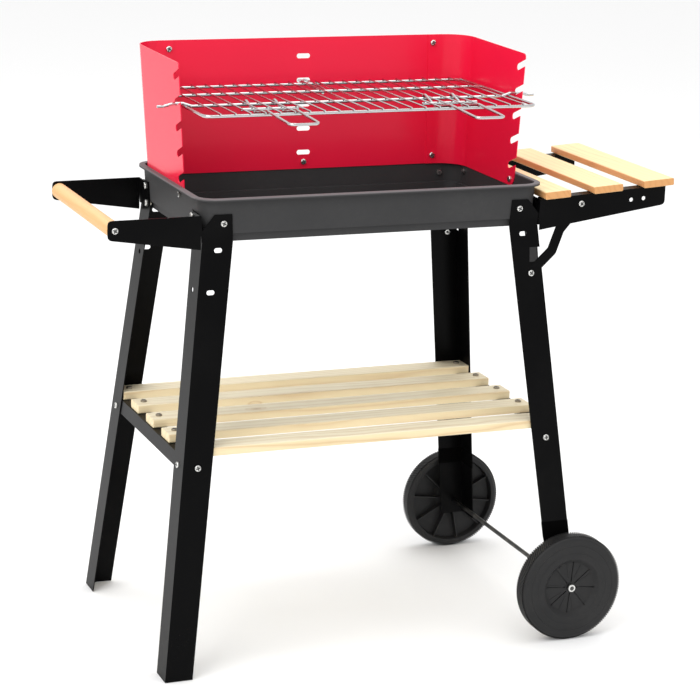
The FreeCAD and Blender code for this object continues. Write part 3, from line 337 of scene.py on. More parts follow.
def bent_wire(points, radius, bend, sides=12, steps=6):
    """Round wire with straight runs and tangent bends, drawn from a disc by extrude and spin."""
    points = [Vector(p) for p in points]
    turn = (points[1] - points[0]).to_track_quat("Z", "Y").to_euler()
    wire = start(bpy.ops.mesh.primitive_circle_add, vertices=sides, radius=radius,
                 fill_type="NGON", location=points[0], rotation=turn)
    bpy.ops.object.mode_set(mode="EDIT")
    bpy.ops.mesh.select_all(action="SELECT")
    here = points[0]
    for before, corner, after in zip(points, points[1:], points[2:]):
        into = (corner - before).normalized()
        away = (after - corner).normalized()
        angle = into.angle(away)
        reach = bend * math.tan(angle / 2)
        arc_in = corner - into * reach
        axis = into.cross(away).normalized()
        centre = arc_in + axis.cross(into) * bend
        bpy.ops.mesh.extrude_region_move(TRANSFORM_OT_translate={"value": arc_in - here})
        bpy.ops.mesh.spin(steps=steps, angle=-angle, center=centre, axis=axis)
        here = corner + away * reach
    bpy.ops.mesh.extrude_region_move(TRANSFORM_OT_translate={"value": points[-1] - here})
    bpy.ops.object.mode_set(mode="OBJECT")
    tidy_normals(wire)
    apply_modifier(wire, "BEVEL", width=0.5 * MM, segments=2, limit_method="ANGLE",
                   angle_limit=math.radians(60), use_clamp_overlap=True)
    return wire


def symmetric(half, centre, shift=0.0):
    """Path of a wire that mirrors itself: along its minus X side and back along the plus X side."""
    rows = [(-x, y, z) for x, y, z in half] + list(reversed(half))
    return [Vector((centre + (shift + x) * MM, y * MM, z * MM)) for x, y, z in rows]


def islands(node):
    """The faces of each separate solid of a node."""
    mesh = NODES[node].data
    places = np.array([v.co for v in mesh.vertices])
    keys = {}
    merged = [keys.setdefault(tuple(np.round(p, 6)), len(keys)) for p in places]
    parent = list(range(len(keys)))

    def root(index):
        while parent[index] != index:
            parent[index] = parent[parent[index]]
            index = parent[index]
        return index

    for face in mesh.polygons:
        ends = [root(merged[v]) for v in face.vertices]
        for end in ends[1:]:
            parent[end] = ends[0]
    found = {}
    for face in mesh.polygons:
        found.setdefault(root(merged[face.vertices[0]]), []).append(face)
    return list(found.values())


def head_place(faces):
    """Middle and outward direction of the largest flat face of a solid: a screw's head."""
    groups = {}
    for face in faces:
        key = tuple(round(c, 2) for c in face.normal) + (round(face.normal.dot(face.center), 4),)
        entry = groups.setdefault(key, [0.0, Vector(), face.normal.copy()])
        entry[0] += face.area
        entry[1] += face.center * face.area
    area, moment, normal = max(groups.values(), key=lambda entry: entry[0])
    return moment / area, normal


def two_finishes(obj, main_finish, other_finish, test):
    """Give a piece two finishes, the other one on the faces that pass a test."""
    for finish in (main_finish, other_finish):
        obj.data.materials.append(finish)
    for face in obj.data.polygons:
        if test(face):
            face.material_index = 1


def inset_rings(obj, side, rings):
    """Step the end cap of a round piece inwards: (radial step, height step) in millimetres."""
    pick(obj, lambda f: f.normal.y * side > 0.9 and len(f.verts) > 8)
    for step, rise in rings:
        bpy.ops.mesh.inset(thickness=step * MM, depth=rise * MM)


# ------------------------------------------------------------------ shader helpers

class Sheet:
    """A node tree with short ways to add and join nodes."""

    def __init__(self, tree):
        self.tree = tree

    def fresh(self, kind):
        """A new node, laid out after the others."""
        node = self.tree.nodes.new(kind)
        count = len(self.tree.nodes)
        node.location = (count * 180 - 1600, -(count % 4) * 160)
        return node

    def add(self, kind, **values):
        """Add a node and set its properties and input values."""
        node = self.fresh(kind)
        for key, value in values.items():
            if hasattr(node, key):
                setattr(node, key, value)
            else:
                self.put(node, key.replace("_", " "), value)
        return node

    def put(self, node, socket, value):
        """Set an input by name or number, or join an output to it."""
        target = node.inputs[socket]
        if isinstance(value, bpy.types.NodeSocket):
            self.tree.links.new(value, target)
        else:
            target.default_value = value

    def maths(self, operation, first, second=0.0, clamp=False):
        """A maths node's output."""
        node = self.fresh("ShaderNodeMath")
        node.operation = operation
        node.use_clamp = clamp
        self.put(node, 0, first)
        self.put(node, 1, second)
        return node.outputs[0]

    def blend(self, share, first, second, mode="MIX"):
        """Mix of two colours."""
        node = self.fresh("ShaderNodeMix")
        node.data_type = "RGBA"
        node.blend_type = mode
        for index, value in ((0, share), (6, first), (7, second)):
            self.put(node, index, value)
        return node.outputs[2]

    def span(self, value, low, high, to_low=0.0, to_high=1.0):
        """Map a value from one range to another, clamped."""
        node = self.fresh("ShaderNodeMapRange")
        for index, item in enumerate((value, low, high, to_low, to_high)):
            self.put(node, index, item)
        return node.outputs[0]

    def noise(self, vector, scale, detail=3.0, rough=0.5, distort=0.0):
        """A noise texture's value."""
        node = self.fresh("ShaderNodeTexNoise")
        self.put(node, "Vector", vector)
        self.put(node, "Scale", scale)
        self.put(node, "Detail", detail)
        self.put(node, "Roughness", rough)
        self.put(node, "Distortion", distort)
        return node.outputs[0]

    def stretched(self, scale):
        """Object coordinates through a mapping with its own scale along each axis."""
        coordinates = self.fresh("ShaderNodeTexCoord")
        mapping = self.fresh("ShaderNodeMapping")
        self.tree.links.new(coordinates.outputs["Object"], mapping.inputs["Vector"])
        mapping.inputs["Scale"].default_value = scale
        return mapping.outputs[0]


def rgba(value):
    """A colour setting as four numbers."""
    return (*value, 1.0)


def new_group(name, inputs, outputs):
    """An empty shader group with named sockets, and its sheet."""
    tree = bpy.data.node_groups.new(name, "ShaderNodeTree")
    for label, kind, value in inputs:
        socket = tree.interface.new_socket(name=label, in_out="INPUT", socket_type=kind)
        if value is not None:
            socket.default_value = value
    for label, kind in outputs:
        tree.interface.new_socket(name=label, in_out="OUTPUT", socket_type=kind)
    return tree, Sheet(tree), tree.nodes.new("NodeGroupInput"), tree.nodes.new("NodeGroupOutput")


def handling_group():
    """Faint dust, fingermarks and fine orange peel on a coated surface."""
    tree, s, given, out = new_group(
        "Handling marks",
        [("Vector", "NodeSocketVector", None), ("Colour", "NodeSocketColor", (0.5, 0.5, 0.5, 1)),
         ("Dust colour", "NodeSocketColor", (0.5, 0.48, 0.45, 1)),
         ("Dust", "NodeSocketFloat", 0.05), ("Roughness", "NodeSocketFloat", 0.3),
         ("Smears", "NodeSocketFloat", 0.1)],
        [("Colour", "NodeSocketColor"), ("Roughness", "NodeSocketFloat"),
         ("Height", "NodeSocketFloat")])
    where = given.outputs["Vector"]
    broad = s.noise(where, 9.0, 4.0, 0.55)
    fine = s.noise(where, 140.0, 3.0, 0.6)
    peel = s.noise(where, 650.0, 1.0, 0.5)
    specks = s.span(s.noise(where, 420.0, 2.0, 0.7), 0.66, 0.74)
    cloud = s.span(broad, 0.42, 0.7)
    settled = s.maths("ADD", s.maths("MULTIPLY", cloud, fine), s.maths("MULTIPLY", specks, 0.8))
    share = s.maths("MULTIPLY", given.outputs["Dust"], settled, clamp=True)
    tint = s.blend(share, given.outputs["Colour"], given.outputs["Dust colour"])
    uneven = s.maths("SUBTRACT", s.maths("ADD", broad, s.maths("MULTIPLY", fine, 0.5)), 0.7)
    rough = s.maths("ADD", given.outputs["Roughness"],
                    s.maths("MULTIPLY", given.outputs["Smears"], uneven))
    height = s.maths("ADD", s.maths("MULTIPLY", peel, 0.6), s.maths("MULTIPLY", broad, 0.4))
    s.put(out, "Colour", tint)
    s.put(out, "Roughness", rough)
    s.put(out, "Height", height)
    return tree


def grain_group():
    """Growth rings, fibres and scattered knots of sawn softwood; the grain runs along X."""
    tree, s, given, out = new_group(
        "Sawn grain",
        [("Vector", "NodeSocketVector", None), ("Early", "NodeSocketColor", (0.8, 0.65, 0.4, 1)),
         ("Late", "NodeSocketColor", (0.5, 0.25, 0.1, 1)), ("Rings", "NodeSocketFloat", 0.35),
         ("Knots", "NodeSocketFloat", 1.0)],
        [("Colour", "NodeSocketColor"), ("Roughness", "NodeSocketFloat"),
         ("Height", "NodeSocketFloat")])
    where = given.outputs["Vector"]
    slow = s.add("ShaderNodeMapping", Scale=(1.6, 14.0, 14.0))
    s.put(slow, "Vector", where)
    drift = s.noise(slow.outputs[0], 1.0, 3.0, 0.5, 0.4)
    split = s.add("ShaderNodeSeparateXYZ")
    s.put(split, 0, where)
    across = s.maths("ADD", s.maths("MULTIPLY", split.outputs[1], 92.0),
                     s.maths("MULTIPLY", split.outputs[2], 60.0))
    knot_map = s.add("ShaderNodeMapping", Scale=(7.0, 16.0, 16.0))
    s.put(knot_map, "Vector", where)
    cells = s.add("ShaderNodeTexVoronoi", Scale=1.0)
    s.put(cells, "Vector", knot_map.outputs[0])
    chosen = s.span(s.noise(cells.outputs["Position"], 3.1, 0.0), 0.34, 0.37)
    ring = s.maths("MULTIPLY", s.span(cells.outputs["Distance"], 0.05, 0.15, 1.0, 0.0), chosen)
    core = s.maths("MULTIPLY", s.span(cells.outputs["Distance"], 0.03, 0.06, 1.0, 0.0), chosen)
    phase = s.maths("ADD", s.maths("ADD", across, s.maths("MULTIPLY", drift, 5.5)),
                    s.maths("MULTIPLY", ring, 2.2))
    saw = s.maths("PINGPONG", phase, 0.5)
    line = s.maths("POWER", s.maths("MULTIPLY", saw, 2.0), 2.6)
    fibre_map = s.add("ShaderNodeMapping", Scale=(22.0, 900.0, 900.0))
    s.put(fibre_map, "Vector", where)
    fibre = s.noise(fibre_map.outputs[0], 1.0, 2.0, 0.6)
    tone = s.maths("MULTIPLY", s.maths("MULTIPLY", line, given.outputs["Rings"]),
                   s.span(drift, 0.25, 0.75, 0.45, 1.2))
    streaks = s.maths("MULTIPLY", s.maths("SUBTRACT", fibre, 0.5), 0.22)
    tone = s.maths("ADD", tone, streaks, clamp=True)
    wood = s.blend(tone, given.outputs["Early"], given.outputs["Late"])
    halo = s.maths("MULTIPLY", s.maths("MULTIPLY", ring, 0.45), given.outputs["Knots"])
    wood = s.blend(halo, wood, given.outputs["Late"])
    dark = s.blend(0.55, given.outputs["Late"], (0.09, 0.03, 0.012, 1.0))
    wood = s.blend(s.maths("MULTIPLY", s.maths("MULTIPLY", core, 0.85), given.outputs["Knots"]),
                   wood, dark)
    s.put(out, "Colour", wood)
    s.put(out, "Roughness", s.span(fibre, 0.2, 0.8, 0.42, 0.62))
    s.put(out, "Height", s.maths("ADD", s.maths("MULTIPLY", fibre, 0.6),
                                 s.maths("MULTIPLY", line, 0.4)))
    return tree


def scratch_group():
    """Drawing lines and tarnish on plated wire and screws."""
    tree, s, given, out = new_group(
        "Plating",
        [("Vector", "NodeSocketVector", None), ("Colour", "NodeSocketColor", (0.7, 0.7, 0.7, 1)),
         ("Tarnish colour", "NodeSocketColor", (0.3, 0.27, 0.22, 1)),
         ("Tarnish", "NodeSocketFloat", 0.1), ("Roughness", "NodeSocketFloat", 0.2)],
        [("Colour", "NodeSocketColor"), ("Roughness", "NodeSocketFloat"),
         ("Height", "NodeSocketFloat")])
    where = given.outputs["Vector"]
    cloud = s.noise(where, 60.0, 4.0, 0.6)
    grit = s.noise(where, 900.0, 2.0, 0.6)
    share = s.maths("MULTIPLY", s.span(cloud, 0.45, 0.75), given.outputs["Tarnish"], clamp=True)
    s.put(out, "Colour", s.blend(share, given.outputs["Colour"], given.outputs["Tarnish colour"]))
    s.put(out, "Roughness", s.maths("ADD", given.outputs["Roughness"],
                                    s.maths("MULTIPLY", s.maths("SUBTRACT", cloud, 0.4), 0.35)))
    s.put(out, "Height", grit)
    return tree


def group(name, maker):
    """A shader group, made the first time it is asked for."""
    return bpy.data.node_groups.get(name) or maker()


def material(name):
    """A new material, its sheet and its shader."""
    mat = bpy.data.materials.new(name)
    mat.use_nodes = True
    return mat, Sheet(mat.node_tree), mat.node_tree.nodes["Principled BSDF"]


def relief(s, shader, height, strength, distance):
    """Bump of a surface."""
    bump = s.add("ShaderNodeBump", Strength=strength, Distance=distance)
    s.put(bump, "Height", height)
    s.put(shader, "Normal", bump.outputs[0])


def coated(name, base, roughness, dust=0.05, smears=0.12, peel=0.25, coat=0.0, specular=0.5):
    """Enamel, paint or moulded plastic."""
    mat = bpy.data.materials.get(name)
    if mat:
        return mat
    mat, s, shader = material(name)
    marks = s.add("ShaderNodeGroup")
    marks.node_tree = group("Handling marks", handling_group)
    s.put(marks, "Vector", s.stretched((1.0, 1.0, 1.0)))
    s.put(marks, "Colour", rgba(base))
    s.put(marks, "Dust", dust)
    s.put(marks, "Roughness", roughness)
    s.put(marks, "Smears", smears)
    s.put(shader, "Base Color", marks.outputs["Colour"])
    s.put(shader, "Roughness", marks.outputs["Roughness"])
    shader.inputs["Specular IOR Level"].default_value = specular
    shader.inputs["Coat Weight"].default_value = coat
    shader.inputs["Coat Roughness"].default_value = 0.04
    relief(s, shader, marks.outputs["Height"], peel, 0.05 * MM)
    return mat


def plated(name, base, roughness, tarnish):
    """Bright plated steel."""
    mat = bpy.data.materials.get(name)
    if mat:
        return mat
    mat, s, shader = material(name)
    plating = s.add("ShaderNodeGroup")
    plating.node_tree = group("Plating", scratch_group)
    s.put(plating, "Vector", s.stretched((1.0, 1.0, 1.0)))
    s.put(plating, "Colour", rgba(base))
    s.put(plating, "Tarnish", tarnish)
    s.put(plating, "Roughness", roughness)
    s.put(shader, "Base Color", plating.outputs["Colour"])
    s.put(shader, "Roughness", plating.outputs["Roughness"])
    shader.inputs["Metallic"].default_value = 1.0
    relief(s, shader, plating.outputs["Height"], 0.15, 0.02 * MM)
    return mat


def wooden(name, early, late, turn, rings, knots, offset,
           flank_shade_tint=(0.97, 0.90, 0.78, 1.0)):
    """Planed softwood whose grain runs along X, or along Y when turned."""
    mat = bpy.data.materials.get(name)
    if mat:
        return mat
    mat, s, shader = material(name)
    coordinates = s.add("ShaderNodeTexCoord")
    mapping = s.add("ShaderNodeMapping", Location=offset, Rotation=(0.0, 0.0, turn))
    s.put(mapping, "Vector", coordinates.outputs["Object"])
    grain = s.add("ShaderNodeGroup")
    grain.node_tree = group("Sawn grain", grain_group)
    s.put(grain, "Vector", mapping.outputs[0])
    s.put(grain, "Early", rgba(early))
    s.put(grain, "Late", rgba(late))
    s.put(grain, "Rings", rings)
    s.put(grain, "Knots", knots)
    # Painted shade: faces turned away from up are multiplied by the flank tint, a warmer, darker
    # colour; on end faces it also stands for the darker end grain.
    split = s.add("ShaderNodeSeparateXYZ")
    s.put(split, 0, coordinates.outputs["Normal"])
    flank = s.span(s.maths("ABSOLUTE", split.outputs[2]), 0.35, 0.85, 1.0, 0.0)
    painted_flank_shade = s.blend(1.0, grain.outputs["Colour"], flank_shade_tint, "MULTIPLY")
    s.put(shader, "Base Color", s.blend(flank, grain.outputs["Colour"], painted_flank_shade))
    s.put(shader, "Roughness", grain.outputs["Roughness"])
    shader.inputs["Specular IOR Level"].default_value = 0.35
    relief(s, shader, grain.outputs["Height"], 0.35, 0.12 * MM)
    return mat


def pan_finish():
    """Satin enamel with a painted highlight: a paler grey painted along the top of the rolled rim.
    """
    mat = pan_enamel()
    if "Painted rim highlight" in mat.node_tree.nodes:
        return mat
    s = Sheet(mat.node_tree)
    shader = mat.node_tree.nodes["Principled BSDF"]
    inner = shader.inputs["Base Color"].links[0].from_socket
    split = s.add("ShaderNodeSeparateXYZ")
    split.name = "Painted rim highlight"
    s.put(split, 0, s.stretched((1.0, 1.0, 1.0)))
    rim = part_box("fire_pan")[1].z
    # Painted highlight: the top two millimetres of the rim blend to a paler grey.
    share = s.span(split.outputs[2], rim - 2.2 * MM, rim - 0.8 * MM)
    s.put(shader, "Base Color", s.blend(share, inner, (0.15, 0.135, 0.14, 1.0)))
    return mat


def red_enamel():
    """Gloss enamel of the windshield."""
    return coated("Red enamel", bpy.context.scene.grill_colours.red, 0.22, 0.01, 0.08, 0.12, 0.06,
                  specular=0.22)


def pan_enamel():
    """Satin enamel of the pan."""
    return coated("Pan enamel", bpy.context.scene.grill_colours.pan, 0.55, 0.03, 0.15, 0.4,
                  specular=0.1)


def black_paint():
    """Gloss paint of the legs and brackets."""
    return coated("Black paint", bpy.context.scene.grill_colours.paint, 0.30, 0.006, 0.12, 0.3,
                  specular=0.06)


def wheel_plastic():
    """Dull moulded plastic."""
    return coated("Wheel plastic", bpy.context.scene.grill_colours.plastic, 0.50, 0.03, 0.2, 0.6,
                  specular=0.25)


def grate_chrome():
    """Bright plating of the grate and grips."""
    return plated("Grate wire", bpy.context.scene.grill_colours.chrome, 0.16, 0.25)


def screw_zinc():
    """Bright zinc of screws, nuts and caps."""
    return plated("Bright zinc", bpy.context.scene.grill_colours.zinc, 0.24, 0.2)


def recess_shade_and_axle_end():
    """Painted shade in the cross of a screw, and the dark axle end in the middle of an axle cap."""
    return coated("Recess shade and axle end", (0.05, 0.05, 0.05), 0.6)


# ------------------------------------------------------------------ operators

class GRILL_OT_pan(bpy.types.Operator):
    """Fire pan with its rolled rim in satin enamel"""
    bl_idname = "grill.pan"
    bl_label = "Fire pan"

    def execute(self, context):
        finish_nodes(("fire_pan",), context.scene.grill_sizes.fold, pan_finish())
        return {"FINISHED"}


class GRILL_OT_windshield(bpy.types.Operator):
    """Windshield panels in gloss red enamel"""
    bl_idname = "grill.windshield"
    bl_label = "Windshield"

    def execute(self, context):
        finish_nodes(node_names("windshield_back", "windshield_left", "windshield_right"),
                     context.scene.grill_sizes.fold, red_enamel())
        return {"FINISHED"}


class GRILL_OT_steelwork(bpy.types.Operator):
    """Legs, rails, handle plates, brackets and braces in black paint"""
    bl_idname = "grill.steelwork"
    bl_label = "Painted steelwork"

    def execute(self, context):
        names = node_names("leg_back_", "leg_front_", "shelf_rail", "handle_plate", "side_bracket")
        finish_nodes(names, context.scene.grill_sizes.fold, black_paint())
        for node in ("side_brace_front", "side_brace_back"):
            self.brace(node)
        return {"FINISHED"}

    def brace(self, node):
        """Flat strip with two knees and round ends."""
        low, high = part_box(node)
        centre = middle("fire_pan").x
        side = -1 if low.y < 0 else 1
        flat = (high.y if side < 0 else low.y) + side * BRACE_THICK / 2
        path = [Vector((centre + x * MM, flat, z * MM)) for x, z in BRACE_PATH]
        strip = start(bpy.ops.mesh.primitive_circle_add, vertices=16, radius=BRACE_WIDE / 2,
                      fill_type="NGON", location=path[0], rotation=(math.pi / 2, 0, 0))
        strips = [strip, twin(strip, Matrix.Translation(path[-1] - path[0]))]
        for first, last in zip(path, path[1:]):
            run = last - first
            turn = Matrix.Rotation(-math.atan2(run.z, run.x), 4, "Y")
            board = start(bpy.ops.mesh.primitive_plane_add, size=1.0, rotation=(math.pi / 2, 0, 0))
            strips.append(twin(board, Matrix.Translation((first + last) / 2) @ turn
                               @ Matrix.Diagonal((run.length, 1, BRACE_WIDE, 1))))
            bpy.data.objects.remove(board)
            if last is not path[-1]:
                strips.append(twin(strip, Matrix.Translation(last - path[0])))
        for piece in strips:
            apply_modifier(piece, "SOLIDIFY", thickness=BRACE_THICK, offset=0.0)
        whole = strips[0]
        for piece in strips[1:]:
            combine(whole, piece, "UNION")
        tidy_normals(whole)
        jog = high.y - low.y - BRACE_THICK
        bpy.ops.object.mode_set(mode="EDIT")
        pick(whole, lambda e: max(v.co.z for v in e.verts) < BRACE_JOG_Z, "EDGE")
        bpy.ops.transform.translate(value=(0, side * jog, 0))
        bpy.ops.object.mode_set(mode="OBJECT")
        apply_modifier(whole, "BEVEL", width=0.3 * MM, segments=2, limit_method="ANGLE")
        settle(whole, node + "_strip", black_paint(), "frame", (node,))


class GRILL_OT_slats(bpy.types.Operator):
    """Planed slats of both shelves, each cut from another place of the wood"""
    bl_idname = "grill.slats"
    bl_label = "Slats"

    def execute(self, context):
        hues = context.scene.grill_colours
        width = context.scene.grill_sizes.board
        lower = [n for n in node_names("shelf_slat_") if n[-1].isdigit()]
        side = [n for n in node_names("side_slat_") if n[-1].isdigit()]
        for index, node in enumerate(lower):
            mat = wooden(f"Pine slat {index + 1}", hues.pine, hues.pine_late, 0.0, 0.42, 0.9,
                         (0.71 * index, 0.037 * index, 0.013 * index))
            finish_nodes((node,), width, mat, 3)
        for index, node in enumerate(side):
            # The last colour is the side slats' flank tint: painted shade on their sides, and
            # darker end grain on their ends.
            mat = wooden(f"Side slat {index + 1}", hues.side, hues.pine_late, math.pi / 2, 0.30,
                         1.0, (0.53 * index + 0.2, 0.041 * index, 0.017 * index),
                         (0.78, 0.50, 0.34, 1.0))
            finish_nodes((node,), width, mat, 3)
        return {"FINISHED"}


class GRILL_OT_dowel(bpy.types.Operator):
    """Turned wooden handle"""
    bl_idname = "grill.dowel"
    bl_label = "Handle dowel"

    def execute(self, context):
        low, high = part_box("handle_dowel")
        centre = (low + high) / 2
        dowel = start(bpy.ops.mesh.primitive_cylinder_add, vertices=48,
                      radius=(high.z - low.z) / 2, depth=high.y - low.y, location=centre,
                      rotation=(math.pi / 2, 0.0, 0.0))
        bpy.ops.object.mode_set(mode="EDIT")
        pick(dowel, is_corner, "EDGE")
        bpy.ops.mesh.bevel(offset=0.8 * MM, segments=3)
        bpy.ops.object.mode_set(mode="OBJECT")
        hues = context.scene.grill_colours
        # The default flank tint paints shade on the dowel's flanks and underside, and darkens its
        # end grain.
        mat = wooden("Turned beech", hues.beech, hues.pine_late, math.pi / 2, 0.32, 0.9,
                     (0.31, 0.02, 0.4))
        settle(dowel, "handle_dowel_turned", mat, "frame", ("handle_dowel",))
        return {"FINISHED"}


class GRILL_OT_grate(bpy.types.Operator):
    """Welded wire grate with its cranked support rod and rear tongue"""
    bl_idname = "grill.grate"
    bl_label = "Grate"

    def execute(self, context):
        sizes = context.scene.grill_sizes
        rod = sizes.rod
        centre = middle("fire_pan").x
        bars = [bent_wire(symmetric(ROD_HALF, centre), rod, ROD_BEND),
                bent_wire(symmetric(FRAME_HALF, centre), rod, FRAME_BEND)]
        for y in CROSS_RODS_Y:
            bars.append(bent_wire(symmetric(((CROSS_ROD_X, y, LOW_Z),), centre), rod, 0.0))
        top = LOW_Z + (rod + sizes.wire) / MM - WELD_SINK
        for index in range(1, THIN_WIRES + 1):
            x = -FRAME_X + index * 2 * FRAME_X / (THIN_WIRES + 1)
            ends = [Vector((centre + x * MM, y * MM, top * MM)) for y in THIN_WIRE_ENDS]
            bars.append(bent_wire(ends, sizes.wire, 0.0, 10))
        bars.append(bent_wire(symmetric(TONGUE_HALF, centre), sizes.grip, TONGUE_BEND))
        settle(joined(bars), "grate_welded", grate_chrome(), "grate", ("grate",))
        return {"FINISHED"}


class GRILL_OT_grips(bpy.types.Operator):
    """The two wire grips in front of the grate"""
    bl_idname = "grill.grips"
    bl_label = "Grips"

    def execute(self, context):
        sizes = context.scene.grill_sizes
        centre = middle("fire_pan").x
        for side, name in ((-1, "left"), (1, "right")):
            shift = side * GRIP_X
            loop = bent_wire(symmetric(GRIP_HALF, centre, shift), sizes.grip, GRIP_BEND)
            cross = bent_wire(symmetric(GRIP_BAR_HALF, centre, shift), sizes.rod, 0.0)
            settle(joined([loop, cross]), f"grate_grip_{name}_bent", grate_chrome(), "grate",
                   (f"grate_grip_{name}",))
        return {"FINISHED"}


class GRILL_OT_wheels(bpy.types.Operator):
    """Moulded wheels with a barred tread, a grooved dish and a ribbed hollow inside"""
    bl_idname = "grill.wheels"
    bl_label = "Wheels"

    def execute(self, context):
        sizes = context.scene.grill_sizes
        low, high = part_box("wheel_back")
        radius = (high.z - low.z) / 2
        wide = high.y - low.y
        tread = sizes.tread
        wheel = start(bpy.ops.mesh.primitive_cylinder_add, vertices=96, radius=radius - tread,
                      depth=wide, rotation=(-math.pi / 2, 0.0, 0.0))
        bpy.ops.object.mode_set(mode="EDIT")
        pick(wheel, is_corner, "EDGE")
        bpy.ops.mesh.bevel(offset=WHEEL_ROUNDING, segments=5)
        inset_rings(wheel, 1, DISH_RINGS)
        inset_rings(wheel, -1, HOLLOW_RINGS)
        bpy.ops.object.mode_set(mode="OBJECT")
        tidy_normals(wheel)
        dish = wide / 2 - DISH_DEPTH
        groove = start(bpy.ops.mesh.primitive_cube_add, size=1.0,
                       location=(GROOVE_MIDDLE, dish, 0.0), scale=GROOVE_SIZE)
        combine(wheel, joined(ring_of(groove, GROOVES, 5.5)), "DIFFERENCE")
        bar = start(bpy.ops.mesh.primitive_cube_add, size=1.0,
                    scale=(TREAD_BAR_WIDE, wide * 0.8, 2 * tread))
        bar.data.transform(Matrix.Translation((0, 0, radius - tread))
                           @ Matrix.Rotation(math.radians(TREAD_SLANT), 4, "Z"))
        parts = [wheel] + ring_of(bar, sizes.bars)
        rib = start(bpy.ops.mesh.primitive_cube_add, size=1.0, location=RIB_PLACE,
                    scale=(RIB_LONG, wide * 0.62, RIB_THICK))
        parts += ring_of(rib, RIBS, 8)
        stub = start(bpy.ops.mesh.primitive_uv_sphere_add, segments=12, ring_count=6,
                     radius=1.6 * MM, location=(-0.0175, dish + 0.3 * MM, 0.0305))
        back = joined(parts + [stub])
        place = Matrix.Translation(middle("wheel_back"))
        front = twin(back, Matrix.Scale(-1, 4, (0, 1, 0)) @ place)
        back.data.transform(place)
        for piece, wheel_name in ((back, "wheel_back"), (front, "wheel_front")):
            settle(piece, wheel_name + "_moulded", wheel_plastic(), wheel_name,
                   (wheel_name,), 28)
        return {"FINISHED"}


class GRILL_OT_screws(bpy.types.Operator):
    """Pan-head screws with a cross recess wherever the solids have a plain screw"""
    bl_idname = "grill.screws"
    bl_label = "Screws"

    def execute(self, context):
        model = start(bpy.ops.mesh.primitive_cylinder_add, vertices=20,
                      radius=context.scene.grill_sizes.head, depth=HEAD_TALL,
                      location=(0, 0, -HEAD_TALL / 2))
        bpy.ops.object.mode_set(mode="EDIT")
        pick(model, lambda e: min(v.co.z for v in e.verts) > -0.1 * MM, "EDGE")
        bpy.ops.mesh.bevel(offset=HEAD_ROUNDING, segments=4, profile=0.55)
        bpy.ops.object.mode_set(mode="OBJECT")
        for scale in ((ARM_LONG, ARM_WIDE, ARM_DEEP), (ARM_WIDE, ARM_LONG, ARM_DEEP)):
            arm = start(bpy.ops.mesh.primitive_cube_add, size=1.0, scale=scale)
            combine(model, arm, "DIFFERENCE")
        recess = recess_shade_and_axle_end()
        bright = screw_zinc()
        dull = plated("Dull zinc", (0.30, 0.26, 0.20), 0.45, 0.5)
        # Painted shade: the faces inside the cross recess get a dark finish instead of zinc.
        two_finishes(model, bright, recess,
                     lambda face: face.center.xy.length < RECESS_REACH
                     and -1.7 * MM < face.center.z < -0.3 * MM)
        shank = start(bpy.ops.mesh.primitive_cylinder_add, vertices=12, radius=SHANK_RADIUS,
                      depth=1.0, location=(0, 0, -0.5))
        count = 0
        for node in [n for n in NODES if n.endswith("_screws")]:
            copies = []
            for faces in islands(node):
                top, normal = head_place(faces)
                corners = (NODES[node].data.vertices[v].co for face in faces for v in face.vertices)
                reach = max((top - corner).dot(normal) for corner in corners)
                tilt = normal.to_track_quat("Z", "Y").to_matrix().to_4x4()
                turn = Matrix.Translation(top) @ tilt @ Matrix.Rotation(count * SCREW_TURN, 4, "Z")
                copies.append(twin(model, turn))
                copies.append(twin(shank, turn @ Matrix.Diagonal((1, 1, reach - 0.1 * MM, 1))))
                count += 1
            plating = dull if "slat" in node else bright
            settle(joined(copies), node + "_crossed", (plating, recess), "frame", (node,))
        bpy.data.objects.remove(model)
        bpy.data.objects.remove(shank)
        if count < 10:
            raise RuntimeError("too few screws were found in the solids")
        return {"FINISHED"}


